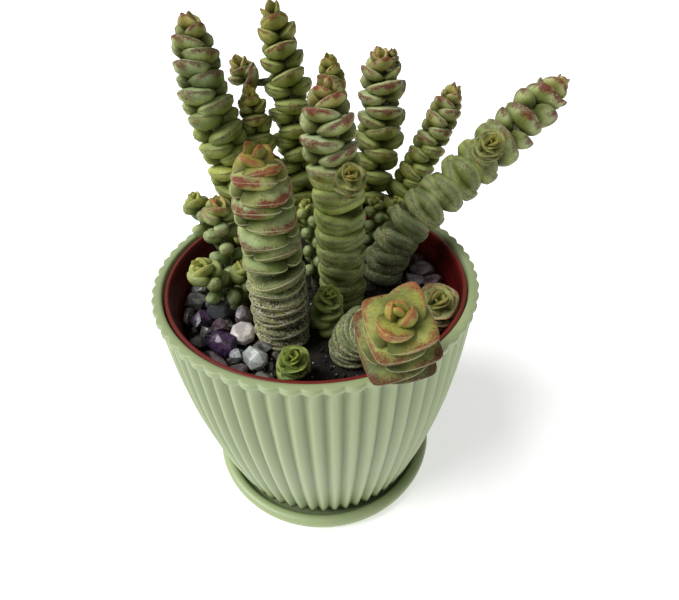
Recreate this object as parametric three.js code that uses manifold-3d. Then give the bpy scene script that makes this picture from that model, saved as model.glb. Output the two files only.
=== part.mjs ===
// A potted string of buttons: leafy stems in soil, in a thin nursery pot in a ribbed pot on its saucer.
// Millimetres, +Z up. The origin is the centre of the saucer's flat underside.
import * as THREE from 'three';
import { mergeVertices } from 'three/addons/utils/BufferGeometryUtils.js';
import Module from 'manifold-3d';

const wasm = await Module();
wasm.setup();

// Driving dimensions
const rimRadius = 60;
const rimHeight = 106;
const touchGap = 0.3;

const ribCount = 60;
const ribDepth = 1.5;
const ribEndHeight = 5.2;
const wallThickness = 2.6;
const potFootRadius = 40;
const potFloorThickness = 3.6;

const saucerLipRadius = 50.4;
const saucerLipTube = 2.5;
const saucerHeight = 8.6;
const saucerFloorThickness = 2.2;

const nurseryLipWidth = 2.1;
const nurseryWall = 1;
const nurseryBottomRadius = 40.5;

const soilTop = 91;
const rootDepth = 8;
const rootHoleClearance = 0.6;

// Surfaces
const sageGlaze = new THREE.MeshStandardMaterial({ color: 0xb4c59a, roughness: 0.55, metalness: 0 });
const brownPlastic = new THREE.MeshStandardMaterial({ color: 0x6a2a24, roughness: 0.45, metalness: 0 });
const darkSoil = new THREE.MeshStandardMaterial({ color: 0x1e1812, roughness: 0.95, metalness: 0 });
const leafGreen = new THREE.MeshStandardMaterial({ color: 0x7c9458, roughness: 0.5, metalness: 0 });
const youngLeaf = new THREE.MeshStandardMaterial({ color: 0xa3b060, roughness: 0.45, metalness: 0 });
const greyQuartz = new THREE.MeshStandardMaterial({ color: 0x9a9aa0, roughness: 0.2, metalness: 0 });
const amethyst = new THREE.MeshStandardMaterial({ color: 0x4a3558, roughness: 0.2, metalness: 0 });
const paleCrystal = new THREE.MeshStandardMaterial({ color: 0xd6cfd2, roughness: 0.15, metalness: 0 });

const object = new THREE.Group();

function addMesh(name, geometry, material) {
  const mesh = new THREE.Mesh(geometry, material);
  mesh.name = name;
  object.add(mesh);
  return mesh;
}

// A closed body from rings of points, bottom to top, with a point closing each end.
function loftGeometry(rings, bottomPoint, topPoint) {
  const count = rings[0].length;
  const points = [bottomPoint, ...rings.flat(), topPoint];
  const topIndex = points.length - 1;
  const faces = [];
  for (let i = 0; i < count; i++) {
    const next = (i + 1) % count;
    faces.push(0, 1 + next, 1 + i);
    for (let row = 0; row < rings.length - 1; row++) {
      const low = 1 + row * count;
      const high = low + count;
      faces.push(low + i, low + next, high + next, low + i, high + next, high + i);
    }
    const last = 1 + (rings.length - 1) * count;
    faces.push(last + i, last + next, topIndex);
  }
  const geometry = new THREE.BufferGeometry();
  const values = points.flatMap((p) => [p.x, p.y, p.z]);
  geometry.setAttribute('position', new THREE.Float32BufferAttribute(values, 3));
  geometry.setIndex(faces);
  return geometry;
}

function toSolid(geometry) {
  const bare = geometry.clone();
  bare.deleteAttribute('normal');
  bare.deleteAttribute('uv');
  const merged = mergeVertices(bare, 1e-4);
  return new wasm.Manifold(new wasm.Mesh({
    numProp: 3,
    vertProperties: new Float32Array(merged.attributes.position.array),
    triVerts: new Uint32Array(merged.index.array),
  }));
}

function toGeometry(solid) {
  const mesh = solid.getMesh();
  const geometry = new THREE.BufferGeometry();
  geometry.setAttribute('position', new THREE.BufferAttribute(mesh.vertProperties, 3));
  geometry.setIndex(new THREE.BufferAttribute(mesh.triVerts, 1));
  return geometry;
}

// A round body turned about the Z axis. The profile is a list of [radius, height].
function turned(profile, segments) {
  const geometry = new THREE.LatheGeometry(profile.map(([r, z]) => new THREE.Vector2(r, z)), segments);
  return geometry.rotateX(Math.PI / 2);
}

// Half-way values along a list of [height, radius] pairs.
function radiusAt(height, pairs) {
  let below = pairs[0];
  for (const pair of pairs) {
    if (pair[0] >= height) {
      const share = pair === below ? 0 : (height - below[0]) / (pair[0] - below[0]);
      return below[1] + share * (pair[1] - below[1]);
    }
    below = pair;
  }
  return below[1];
}

// Saucer
function saucerGeometry() {
  const outer = saucerLipRadius + saucerLipTube;
  const inner = saucerLipRadius - saucerLipTube;
  const lipCentre = saucerHeight - saucerLipTube;
  const profile = [[0, 0], [saucerLipRadius - 3.4, 0], [outer - 1.2, lipCentre - 3.2]];
  for (let angle = 0; angle <= 180; angle += 45) {
    const turn = THREE.MathUtils.degToRad(angle);
    profile.push([
      saucerLipRadius + saucerLipTube * Math.cos(turn),
      lipCentre + saucerLipTube * Math.sin(turn),
    ]);
  }
  profile.push([inner - 0.6, saucerFloorThickness + 0.6]);
  profile.push([inner - 2, saucerFloorThickness], [0, saucerFloorThickness]);
  return turned(profile, 48);
}

// Outer pot. Its wall leans in towards the foot in a soft curve, and each rib is a flat-topped fold in it.
const potBase = saucerFloorThickness + touchGap;
const wallCurve = [[ribEndHeight, 46.6], [28, 51.8], [55, 56.6], [82, 59.4], [rimHeight, rimRadius]];

function ribRing(height, radius, depth) {
  const ring = [];
  for (let rib = 0; rib < ribCount; rib++) {
    for (const [share, drop] of [[0, 1], [0.3, 0], [0.7, 0]]) {
      const turn = ((rib + share) / ribCount) * 2 * Math.PI;
      const reach = radius - drop * depth;
      ring.push(new THREE.Vector3(reach * Math.cos(turn), reach * Math.sin(turn), height));
    }
  }
  return ring;
}

function outerPotGeometry() {
  const rings = [ribRing(potBase, potFootRadius, 0)];
  rings.push(ribRing(ribEndHeight, 45.6, 0.8));
  rings.push(ribRing(ribEndHeight + 2.2, 47.1, ribDepth));
  for (const [height, radius] of wallCurve.slice(1)) {
    rings.push(ribRing(height, radius, ribDepth));
  }
  const floor = potBase + potFloorThickness;
  const body = toSolid(loftGeometry(
    rings,
    new THREE.Vector3(0, 0, potBase),
    new THREE.Vector3(0, 0, rimHeight),
  ));
  const inside = [[0, floor], [nurseryBottomRadius + 1.6, floor]];
  for (const height of [55, 82]) {
    inside.push([radiusAt(height, wallCurve) - ribDepth - wallThickness, height]);
  }
  inside.push([cavityRadius, rimHeight - 8], [cavityRadius, rimHeight + 1], [0, rimHeight + 1]);
  return toGeometry(body.subtract(toSolid(turned(inside, 60))));
}

// Nursery pot: a thin tapered pot whose flat lip fits inside the outer pot's rim.
const cavityRadius = 56.3;
const nurseryRadius = cavityRadius - touchGap;
const nurseryTop = rimHeight + 0.5;
const nurseryBase = potBase + potFloorThickness + touchGap;
const nurseryWallTop = nurseryRadius - nurseryLipWidth + nurseryWall;

function nurseryRadiusAt(height) {
  const share = (height - nurseryBase) / (nurseryTop - nurseryBase);
  return nurseryBottomRadius + share * (nurseryWallTop - nurseryBottomRadius);
}

function nurseryPotGeometry() {
  const lipDrop = 2.4;
  const floor = nurseryBase + 1.2;
  const profile = [
    [0, nurseryBase],
    [nurseryBottomRadius, nurseryBase],
    [nurseryRadiusAt(nurseryTop - lipDrop), nurseryTop - lipDrop],
    [nurseryRadius, nurseryTop - lipDrop + 0.4],
    [nurseryRadius, nurseryTop],
    [nurseryRadius - nurseryLipWidth, nurseryTop],
    [nurseryRadiusAt(nurseryTop - 2) - nurseryWall, nurseryTop - 2],
    [nurseryRadiusAt(floor) - nurseryWall, floor],
    [0, floor],
  ];
  return turned(profile, 48);
}

// Leafy stems. Pairs of leaves are set one above another, each pair turned a right angle to the one below.
// Each stem grows from the soil at the first point of its path to the last, and is listed from its tip down:
// the youngest pairs are small, close together and tilted up.
const youngShare = [0.45, 0.74, 0.9, 0.98];
const youngStep = [0.42, 0.62, 0.82, 0.95];
const youngLift = [0.55, 0.42, 0.3, 0.2];
const leafLift = 0.12;
const waistDrop = 0.7;
const bulgeDrop = 0.3;
const bulgeShare = 0.88;
const fullOutline = [[1, 0], [0.8, 0.44], [0.42, 0.86], [0, 0.9]];
const plainOutline = [[1, 0], [0.56, 0.82], [0, 0.9]];

// Offsets along and across a pair of leaves, all the way round, from the outline of one quarter.
function pairOutline(quarter, breadth) {
  const side = quarter.map(([along, across]) => [along, across * breadth]);
  const back = side.slice(1, -1).reverse().map(([along, across]) => [-along, across]);
  const half = [...side, ...back];
  return [...half, ...half.map(([along, across]) => [-along, -across])];
}

function frameOn(curve, distance, length) {
  const share = Math.min(Math.max(distance / length, 0), 1);
  const centre = curve.getPointAt(share);
  const along = curve.getTangentAt(share);
  const right = new THREE.Vector3(0, 1, 0).cross(along).normalize();
  const front = along.clone().cross(right);
  return { centre, along, right, front };
}

function ringAt(frame, offsets, spin, lift) {
  return offsets.map(([a, b]) => {
    const x = a * Math.cos(spin) - b * Math.sin(spin);
    const y = a * Math.sin(spin) + b * Math.cos(spin);
    return frame.centre.clone()
      .addScaledVector(frame.right, x)
      .addScaledVector(frame.front, y)
      .addScaledVector(frame.along, lift(a, b));
  });
}

// The points of each leaf pair, from the tip down: where it sits, its reach and the room below it.
function pairsOf(stem, length) {
  const pairs = [];
  let distance = length - stem.reach * 0.16;
  for (let k = 0; distance > stem.bare; k++) {
    const aged = Math.min(k / stem.youngPairs, 1);
    const reach = stem.tipReach + (stem.reach - stem.tipReach) * aged;
    const step = stem.pitch * (youngStep[k] ?? 1);
    pairs.push({ k, distance, reach: reach * (youngShare[k] ?? 1), step, lift: youngLift[k] ?? leafLift });
    distance -= step;
  }
  return pairs.reverse();
}

// A stem is one body: a bare foot, then for each pair a waist, the bulge under the leaves and the leaf edge.
function stemSolid(stem) {
  const points = stem.path.map((p) => new THREE.Vector3(...p));
  const curve = new THREE.CatmullRomCurve3(points, false, 'catmullrom');
  curve.arcLengthDivisions = 400;
  const length = curve.getLength();
  const offsets = pairOutline(stem.outline, stem.breadth);
  const quarterTurn = offsets.length / 4;
  const spinStart = THREE.MathUtils.degToRad(stem.spin);
  const roundRing = (frame, radius, spin) => {
    const round = offsets.map(([a, b]) => {
      const size = Math.hypot(a, b);
      return [(a / size) * radius, (b / size) * radius];
    });
    return ringAt(frame, round, spin, () => 0);
  };
  const rings = [];
  const foot = points[0];
  const start = stem.rooted ? foot.clone().setZ(soilTop - rootDepth + touchGap) : foot;
  if (stem.rooted) {
    const upright = {
      along: new THREE.Vector3(0, 0, 1), right: new THREE.Vector3(1, 0, 0), front: new THREE.Vector3(0, 1, 0),
    };
    rings.push(roundRing({ ...upright, centre: start }, stem.stalk, spinStart));
    rings.push(roundRing({ ...upright, centre: foot }, stem.stalk, spinStart));
  } else {
    rings.push(roundRing(frameOn(curve, 0, length), stem.stalk, spinStart));
  }
  for (let distance = 8; distance < stem.bare - 4; distance += 10) {
    rings.push(roundRing(frameOn(curve, distance, length), stem.stalk, spinStart));
  }
  for (const pair of pairsOf(stem, length)) {
    const odd = pair.k % 2;
    const spin = spinStart + odd * Math.PI / 2;
    // An odd pair is turned a right angle, so its ring starts a quarter turn on, in line with the others.
    const align = (ring) => (odd ? [...ring.slice(-quarterTurn), ...ring.slice(0, -quarterTurn)] : ring);
    const sized = (share) => offsets.map(([a, b]) => [a * pair.reach * share, b * pair.reach * share]);
    const lift = (a) => pair.lift * pair.reach * (a / pair.reach) ** 2;
    const aged = Math.min(pair.k / stem.youngPairs, 1);
    const waistShare = stem.waist + (stem.oldWaist - stem.waist) * aged;
    const waist = Math.max(stem.stalk * 0.9, pair.reach * waistShare);
    const neck = frameOn(curve, pair.distance - waistDrop * pair.step, length);
    rings.push(align(roundRing(neck, waist, spin)));
    if (stem.plump) {
      const bulge = frameOn(curve, pair.distance - bulgeDrop * pair.step, length);
      rings.push(align(ringAt(bulge, sized(bulgeShare), spin, lift)));
    }
    rings.push(align(ringAt(frameOn(curve, pair.distance, length), sized(1), spin, lift)));
  }
  return toSolid(loftGeometry(rings, start, frameOn(curve, length, length).centre));
}

const stemDefaults = {
  rooted: true, plump: true, outline: plainOutline, bare: 3, pitch: 5.2, reach: 8, tipReach: 7, youngPairs: 8,
  breadth: 0.82, waist: 0.62, oldWaist: 0.66, stalk: 2.4, spin: 0,
};

// The stems, each with its own side shoots, named by where they stand. The reach is half a leaf pair's span.
const plants = {
  stem_left_tall: [{
    path: [[-23, 21, 91], [-25.5, 22, 112], [-30.5, 22, 144], [-34.5, 23, 165], [-35.2, 25, 184]],
    reach: 8.6, tipReach: 7.4, bare: 13, spin: 25,
  }],
  stem_back_tall: [{
    path: [[-2, 32, 91], [-2, 33, 108], [-5, 35, 138], [-7, 37, 161], [-10.6, 39, 185]],
    reach: 8.6, tipReach: 6, youngPairs: 10, bare: 14, spin: 5,
  }, {
    path: [[-8, 38, 163], [-16, 37.5, 162], [-21.5, 37.5, 163], [-24, 37, 170]],
    rooted: false, reach: 5.2, tipReach: 5, pitch: 3.8, bare: 11, stalk: 1.7, spin: 0,
  }],
  stem_left_back_slim: [{
    path: [[-16.5, 31, 91], [-17, 31, 117], [-19, 29, 145], [-20.3, 27, 162.5]],
    plump: false, reach: 5.6, tipReach: 4.8, pitch: 4.2, bare: 22, stalk: 1.8, spin: 10,
  }],
  stem_back_hidden: [{
    path: [[5, 15, 91], [7, 16, 130], [8, 15, 158], [7, 14, 174]],
    plump: false, reach: 5.2, tipReach: 5.2, pitch: 4.6, bare: 50, stalk: 2, spin: 20,
  }],
  stem_centre: [{
    path: [[10, -5, 91], [9, -6, 112], [8, -7, 140], [5.5, -8.5, 157], [5.1, -9, 172.5]],
    reach: 9.4, tipReach: 7.4, youngPairs: 9, bare: 6, spin: 30, oldWaist: 0.84, stalk: 4.2,
  }, {
    path: [[9, -8, 140], [10.8, -15.5, 147.5], [11.4, -21, 152]],
    rooted: false, reach: 5, tipReach: 5, pitch: 3.4, bare: 6, stalk: 2.4, spin: 15,
  }],
  stem_right_tall: [{
    path: [[15, 38, 91], [20, 38.5, 108], [26, 39, 130], [28, 38, 152], [26, 38, 171]],
    reach: 9.2, tipReach: 8, youngPairs: 6, bare: 22, spin: 5,
  }, {
    path: [[27.5, 38, 161], [30.5, 38, 166], [31, 38, 171]],
    rooted: false, reach: 3.8, tipReach: 3.8, pitch: 2.6, bare: 3, stalk: 1.4, spin: 30,
  }],
  stem_right_slim: [{
    path: [[29, 34, 91], [32, 33.5, 105], [39, 33, 122], [47, 33, 139], [53.7, 33, 159.5]],
    plump: false, reach: 6.2, tipReach: 5.8, pitch: 4.6, bare: 15, stalk: 1.9, spin: 40,
  }],
  stem_right_leaning: [{
    path: [[27, 9, 91], [29, 9.5, 103], [36, 10.5, 116.5], [50, 12, 130], [66, 15, 144.5], [87, 20, 164]],
    reach: 9.4, tipReach: 7.8, youngPairs: 10, oldWaist: 0.84, bare: 6, stalk: 4.2, spin: 38,
  }, {
    path: [[62, 13, 142], [59.5, 5, 148], [58.4, 0, 152]],
    rooted: false, reach: 5.2, tipReach: 5.2, pitch: 3, bare: 5, stalk: 2.2, spin: 20,
  }],
  stem_front_thick: [{
    path: [[-13, -22, 91], [-13, -23, 122], [-13.6, -25, 146], [-14, -26, 161]],
    reach: 9.8, tipReach: 9, youngPairs: 6, breadth: 0.88, waist: 0.7, oldWaist: 0.86, stalk: 5,
    bare: 5.4, spin: 45,
  }],
  stem_front_rosette: [{
    path: [[10, -33, 91], [12, -35.5, 99], [15.5, -41, 107], [19.5, -47.5, 112.5], [21.5, -53, 116.5]],
    reach: 7.4, tipReach: 6, pitch: 4.4, bare: 6, youngPairs: 4, oldWaist: 0.84, stalk: 4.4, spin: 20,
  }, {
    path: [[20.5, -51.5, 110.8], [21.2, -55, 118.5], [20.8, -58, 130.5]],
    rooted: false, outline: fullOutline, reach: 12.4, tipReach: 11.4, youngPairs: 5, pitch: 4, bare: 4.2,
    breadth: 0.9, waist: 0.7, stalk: 4.4, spin: -30,
  }],
  shoot_front: [{
    path: [[-9, -41, 91], [-9, -42.5, 98], [-8, -47, 108]],
    reach: 5.4, tipReach: 5.2, pitch: 4, stalk: 2.2, spin: 40,
  }],
  shoot_middle: [{
    path: [[2, -19, 91], [3, -20, 103], [4.3, -22, 112]],
    reach: 4.8, tipReach: 4.8, pitch: 4, stalk: 2.2, spin: 35,
  }],
  shoot_right_low: [{
    path: [[41, -17, 91], [41.5, -20, 100], [40.3, -27, 110]],
    reach: 6.2, tipReach: 6, pitch: 3.8, stalk: 2.4, spin: 20,
  }],
  shoot_left_low: [{
    path: [[-29, -5, 91], [-30.5, -5.5, 98], [-37, -7.5, 105], [-41, -9, 116]],
    reach: 6, tipReach: 5.8, pitch: 4.4, bare: 4, stalk: 2, spin: 20,
  }, {
    path: [[-30, -4.5, 93], [-28, -2.5, 99], [-27, -1.5, 108]],
    rooted: false, reach: 4.4, tipReach: 4.4, pitch: 4, bare: 5, stalk: 1.8, spin: 15,
  }],
  shoot_left_upper: [{
    path: [[-33, 6, 91], [-33.5, 6.5, 104], [-34, 7.5, 119], [-34.2, 8, 131]],
    reach: 6.2, tipReach: 6, pitch: 4.8, stalk: 2, spin: 15,
  }, {
    path: [[-34, 7, 108], [-39, 10, 116], [-42, 12, 122], [-43, 13, 131]],
    rooted: false, reach: 4.4, tipReach: 4.2, pitch: 4, bare: 7, stalk: 1.6, spin: 30,
  }],
  shoot_back_middle: [{
    path: [[22, 24, 91], [25, 24, 108], [24.5, 23, 121]],
    plump: false, reach: 4.2, tipReach: 4, pitch: 4, bare: 4, stalk: 1.6, spin: 10,
  }],
  shoot_back_right: [{
    path: [[33, 24, 91], [34, 24, 108], [34, 23.5, 120]],
    plump: false, reach: 4, tipReach: 4, pitch: 4, bare: 4, stalk: 1.6, spin: 40,
  }],
  shoot_between: [{
    path: [[-1, 8, 91], [-1, 9, 112], [-3, 10, 128]],
    plump: false, reach: 4, tipReach: 3.6, pitch: 4.4, bare: 4, stalk: 1.5, spin: 15,
  }],
};

function plantGeometry(parts) {
  let solid = stemSolid({ ...stemDefaults, ...parts[0] });
  for (const part of parts.slice(1)) {
    solid = solid.add(stemSolid({ ...stemDefaults, ...part }));
  }
  return toGeometry(solid);
}

// Soil: a tapered fill with a plain hole for each stem.
function soilGeometry() {
  const bottom = nurseryBase + 1.2 + touchGap;
  const fitRadius = (height) => nurseryRadiusAt(height) - nurseryWall - touchGap;
  const profile = [[0, bottom], [fitRadius(bottom), bottom], [fitRadius(soilTop), soilTop], [0, soilTop]];
  let soil = toSolid(turned(profile, 48));
  for (const [main] of Object.values(plants)) {
    const [x, y] = main.path[0];
    const hole = new THREE.CylinderGeometry(1, 1, 2 * rootDepth, 10);
    const radius = (main.stalk ?? stemDefaults.stalk) + rootHoleClearance;
    hole.rotateX(Math.PI / 2).scale(radius, radius, 1).translate(x, y, soilTop);
    soil = soil.subtract(toSolid(hole));
  }
  return toGeometry(soil);
}

// Stones on the soil. A chip is a rough crystal with flat faces, its corners moved by a seeded rule.
function seededNumbers(seed) {
  let state = seed;
  return () => {
    state = (state * 1664525 + 1013904223) % 4294967296;
    return state / 4294967296;
  };
}

function chipGeometry(size, seed, detail) {
  const random = seededNumbers(seed);
  const source = new THREE.IcosahedronGeometry(1, detail);
  source.deleteAttribute('normal');
  source.deleteAttribute('uv');
  const geometry = mergeVertices(source, 1e-3);
  const corners = geometry.attributes.position;
  for (let i = 0; i < corners.count; i++) {
    const point = new THREE.Vector3().fromBufferAttribute(corners, i);
    point.multiplyScalar(0.78 + 0.3 * random());
    corners.setXYZ(i, point.x * size[0] / 2, point.y * size[1] / 2, point.z * size[2] / 2);
  }
  return geometry;
}

function restOnSoil(geometry, x, y, turn) {
  geometry.rotateZ(THREE.MathUtils.degToRad(turn));
  geometry.computeBoundingBox();
  return geometry.translate(x, y, soilTop + touchGap - geometry.boundingBox.min.z);
}

// Each chip: its place, its size along, across and up, its turn, and its stone.
const chips = [
  { at: [-48, -3], size: [6.5, 6, 6], turn: 20, stone: greyQuartz },
  { at: [-47.5, -12], size: [4.5, 6.5, 6], turn: 10, stone: greyQuartz },
  { at: [-42, -4.5], size: [5, 5, 5], turn: 50, stone: greyQuartz },
  { at: [-41.5, -13], size: [6.5, 7, 5.5], turn: 35, stone: amethyst },
  { at: [-34.5, -12.5], size: [7, 6, 7], turn: 0, stone: amethyst },
  { at: [-35.5, -19.5], size: [5.5, 5, 5], turn: 70, stone: amethyst },
  { at: [-41, -20], size: [5, 5, 5], turn: 15, stone: greyQuartz },
  { at: [-36, -27], size: [10, 7, 6.5], turn: -35, stone: amethyst },
  { at: [-42, -26], size: [5, 4.5, 4.5], turn: -50, stone: greyQuartz },
  { at: [-34, -34.5], size: [9, 3.6, 3.6], turn: -42, stone: paleCrystal },
  { at: [-27.5, -32], size: [5.5, 5, 4.5], turn: 25, stone: greyQuartz },
  { at: [-28, -38.5], size: [5, 4.5, 4], turn: 60, stone: amethyst },
  { at: [-19, -44.5], size: [5.5, 4, 4], turn: 10, stone: greyQuartz },
  { at: [-21, -28], size: [6, 5, 3.6], turn: -20, stone: greyQuartz },
  { at: [-26.5, -15], size: [6, 6, 5], turn: 30, stone: amethyst },
  { at: [-48, 6], size: [5, 6.5, 5], turn: 5, stone: greyQuartz },
  { at: [45, 10], size: [6.5, 6, 5.5], turn: 15, stone: paleCrystal },
  { at: [47.5, 1.5], size: [5.5, 6, 5.5], turn: -30, stone: amethyst },
  { at: [40.5, 4], size: [5, 5.5, 4.5], turn: 45, stone: paleCrystal },
  { at: [44, 18.5], size: [6, 5.5, 5], turn: 0, stone: amethyst },
];

// A drum bead with eight sides, and a clear crystal cut to a point at both ends.
function beadGeometry() {
  const [width, height] = [8.4, 6.4];
  const profile = [[0, 0], [0.6, 0], [1, 0.25], [1, 0.72], [0.62, 1], [0, 1]];
  return turned(profile.map(([r, z]) => [r * width / 2, z * height]), 8);
}

function crystalGeometry() {
  const profile = [[0, 0], [3.2, 2.4], [3.6, 6.4], [0, 9.6]];
  const geometry = turned(profile, 6);
  return geometry.rotateX(THREE.MathUtils.degToRad(62)).rotateZ(THREE.MathUtils.degToRad(40));
}

addMesh('saucer', saucerGeometry(), sageGlaze);
addMesh('outer_pot', outerPotGeometry(), sageGlaze);
addMesh('nursery_pot', nurseryPotGeometry(), brownPlastic);
addMesh('soil', soilGeometry(), darkSoil);
for (const [name, parts] of Object.entries(plants)) {
  addMesh(name, plantGeometry(parts), name.startsWith('shoot') ? youngLeaf : leafGreen);
}
chips.forEach(({ at, size, turn, stone }, index) => {
  const geometry = chipGeometry(size, 11 + 7 * index, 0);
  addMesh(`stone_${index + 1}`, restOnSoil(geometry, at[0], at[1], turn), stone);
});
addMesh('stone_bead', restOnSoil(beadGeometry(), -27.5, -24, 12), paleCrystal);
addMesh('stone_clear', restOnSoil(crystalGeometry(), -21, -34.5, 0), paleCrystal);

export default object;
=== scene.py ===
import bmesh
import bpy
import math
import random
from mathutils import Matrix, Vector


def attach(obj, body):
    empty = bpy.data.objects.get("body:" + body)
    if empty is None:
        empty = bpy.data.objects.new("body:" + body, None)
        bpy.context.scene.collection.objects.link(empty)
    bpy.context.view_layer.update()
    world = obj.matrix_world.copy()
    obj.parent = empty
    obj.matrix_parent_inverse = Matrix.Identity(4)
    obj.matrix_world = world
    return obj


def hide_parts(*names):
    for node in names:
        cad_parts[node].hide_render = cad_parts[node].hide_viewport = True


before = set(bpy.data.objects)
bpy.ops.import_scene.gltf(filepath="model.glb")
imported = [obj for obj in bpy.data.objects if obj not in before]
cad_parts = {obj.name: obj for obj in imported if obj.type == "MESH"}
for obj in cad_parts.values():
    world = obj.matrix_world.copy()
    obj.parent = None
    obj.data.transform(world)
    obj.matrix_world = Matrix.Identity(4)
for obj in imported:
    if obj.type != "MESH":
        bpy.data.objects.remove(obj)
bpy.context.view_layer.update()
bpy.ops.object.select_all(action="DESELECT")
scene = bpy.context.scene
scene.view_settings.view_transform = "Standard"
mm = 0.001


def say(text):
    print("stage:", text)


def pickOnly(obj):
    bpy.ops.object.select_all(action="DESELECT")
    obj.select_set(True)
    bpy.context.view_layer.objects.active = obj


def added(name):
    obj = bpy.context.object
    obj.name = name
    obj.data.name = name
    return obj


def pickVerts(obj, test):
    # selects the vertices that pass the test, in edit mode
    bm = bmesh.from_edit_mesh(obj.data)
    bm.verts.ensure_lookup_table()
    for vert in bm.verts:
        vert.select = test(vert)
    bm.select_flush_mode()
    bmesh.update_edit_mesh(obj.data)


def pickFaces(obj, test):
    # the same for faces
    bpy.ops.mesh.select_all(action="DESELECT")
    bm = bmesh.from_edit_mesh(obj.data)
    for face in bm.faces:
        face.select = test(face)
    bmesh.update_edit_mesh(obj.data)


def enter(mode):
    bpy.ops.object.mode_set(mode=mode)


def linked(name, data):
    obj = bpy.data.objects.new(name, data)
    scene.collection.objects.link(obj)
    return obj


def copyOf(source):
    return linked(source.name, source.data.copy())


def applyAll(obj):
    pickOnly(obj)
    for modifier in list(obj.modifiers):
        bpy.ops.object.modifier_apply(modifier=modifier.name)


def settle(obj):
    # the object goes to the origin, its place into its mesh
    pickOnly(obj)
    bpy.ops.object.transform_apply(location=True, rotation=True, scale=True)


def joined(objs, name):
    bpy.ops.object.select_all(action="DESELECT")
    for obj in objs:
        obj.select_set(True)
    bpy.context.view_layer.objects.active = objs[0]
    if len(objs) > 1:
        bpy.ops.object.join()
    obj = added(name)
    settle(obj)
    return obj


def smooth(obj, angle=None):
    pickOnly(obj)
    if angle is None:
        bpy.ops.object.shade_smooth()
    else:
        bpy.ops.object.shade_smooth_by_angle(angle=math.radians(angle))


def finished(obj, slotName, material, *nodes):
    obj.data.materials.clear()
    obj.data.materials.append(material)
    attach(obj, "root")
    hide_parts(*nodes)
    return obj


def turned(name, profile, segments):
    # a round body: a filled ring at the first point, extruded along the profile, closed at the last
    (startRadius, startHeight), *rest = [(r * mm, z * mm) for r, z in profile]
    bpy.ops.mesh.primitive_circle_add(
        vertices=segments, radius=startRadius, fill_type="TRIFAN", location=(0, 0, startHeight))
    obj = added(name)
    settle(obj)
    enter("EDIT")
    pickVerts(obj, lambda v: v.co.xy.length > startRadius / 2)
    radius, height = startRadius, startHeight
    for nextRadius, nextHeight in rest:
        bpy.ops.mesh.extrude_region_move(
            TRANSFORM_OT_translate={"value": (0, 0, nextHeight - height)})
        share = nextRadius / radius
        bpy.ops.transform.resize(value=(share, share, 1), center_override=(0, 0, nextHeight))
        radius, height = nextRadius, nextHeight
    bpy.ops.mesh.extrude_region_move()
    bpy.ops.mesh.merge(type="CENTER")
    bpy.ops.mesh.select_all(action="SELECT")
    bpy.ops.mesh.normals_make_consistent(inside=False)
    enter("OBJECT")
    return obj


camera = {"place": (0, -0.13703, 0.20267), "lens": 23.33, "pitch": 0.6926, "yaw": 0.0478, "roll": -0.0521,
          "sensor": 36, "near": 0.005}


def makeCamera(look):
    ahead = Vector((0, math.cos(look["pitch"]), -math.sin(look["pitch"])))
    up = Vector((0, math.sin(look["pitch"]), math.cos(look["pitch"])))
    right = Vector((1, 0, 0))
    yaw, roll = look["yaw"], look["roll"]
    ahead, right = (ahead * math.cos(yaw) + right * math.sin(yaw),
                    right * math.cos(yaw) - ahead * math.sin(yaw))
    right, up = (right * math.cos(roll) + up * math.sin(roll),
                 up * math.cos(roll) - right * math.sin(roll))
    data = bpy.data.cameras.new("camera")
    data.lens = look["lens"]
    data.sensor_width = look["sensor"]
    data.clip_start = look["near"]
    obj = linked("camera", data)
    turn = Matrix((right, up, -ahead)).transposed().to_4x4()
    obj.matrix_world = Matrix.Translation(look["place"]) @ turn
    scene.camera = obj


makeCamera(camera)


def linear(red, green, blue):
    # a colour given as seen on screen, 0 to 255
    return tuple(((c / 255 + 0.055) / 1.055) ** 2.4 if c > 10 else c / 255 / 12.92
                 for c in (red, green, blue)) + (1,)


def newMaterial(name):
    material = bpy.data.materials.new(name)
    material.use_nodes = True
    tree = material.node_tree
    shader = tree.nodes["Principled BSDF"]
    return material, tree, shader


def feed(tree, socket, value):
    if isinstance(value, bpy.types.NodeSocket):
        tree.links.new(value, socket)
    elif value is not None:
        socket.default_value = value


def newNode(tree, kind, inputs, **settings):
    node = tree.nodes.new("ShaderNode" + kind)
    for name, value in settings.items():
        setattr(node, name, value)
    for name, value in inputs.items():
        feed(tree, node.inputs[name], value)
    return node


def sums(tree, operation, first, second=None, clamp=False):
    return newNode(tree, "Math", {0: first, 1: second}, operation=operation, use_clamp=clamp).outputs[0]


def blended(tree, share, first, second):
    node = newNode(tree, "Mix", {"Factor": share, "A": first, "B": second}, data_type="RGBA")
    return node.outputs["Result"]


def ramped(tree, value, low, high):
    # 0 below low, 1 above high, smooth between; low above high turns it round
    turnedRound = low > high
    return newNode(tree, "MapRange", {
        "Value": value, "From Min": min(low, high), "From Max": max(low, high),
        "To Min": 1 if turnedRound else 0, "To Max": 0 if turnedRound else 1,
    }, interpolation_type="SMOOTHSTEP").outputs["Result"]


def noise(tree, where, scale, detail, roughness=0.55):
    return newNode(tree, "TexNoise", {
        "Vector": where, "Scale": scale, "Detail": detail, "Roughness": roughness}).outputs["Fac"]


def cells(tree, where, scale, feature="F1"):
    return newNode(tree, "TexVoronoi", {"Vector": where, "Scale": scale}, feature=feature).outputs["Distance"]


def objectPlace(tree):
    return tree.nodes.new("ShaderNodeTexCoord").outputs["Object"]


def dressed(tree, shader, colour, roughness, height, relief, inputs=None):
    # the relief says how strong the bumps are, and how high in metres
    strength, distance = relief
    bump = newNode(tree, "Bump", {"Strength": strength, "Distance": distance, "Height": height})
    values = {"Base Color": colour, "Roughness": roughness, "Normal": bump.outputs["Normal"]}
    for name, value in {**values, **(inputs or {})}.items():
        feed(tree, shader.inputs[name], value)


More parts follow.
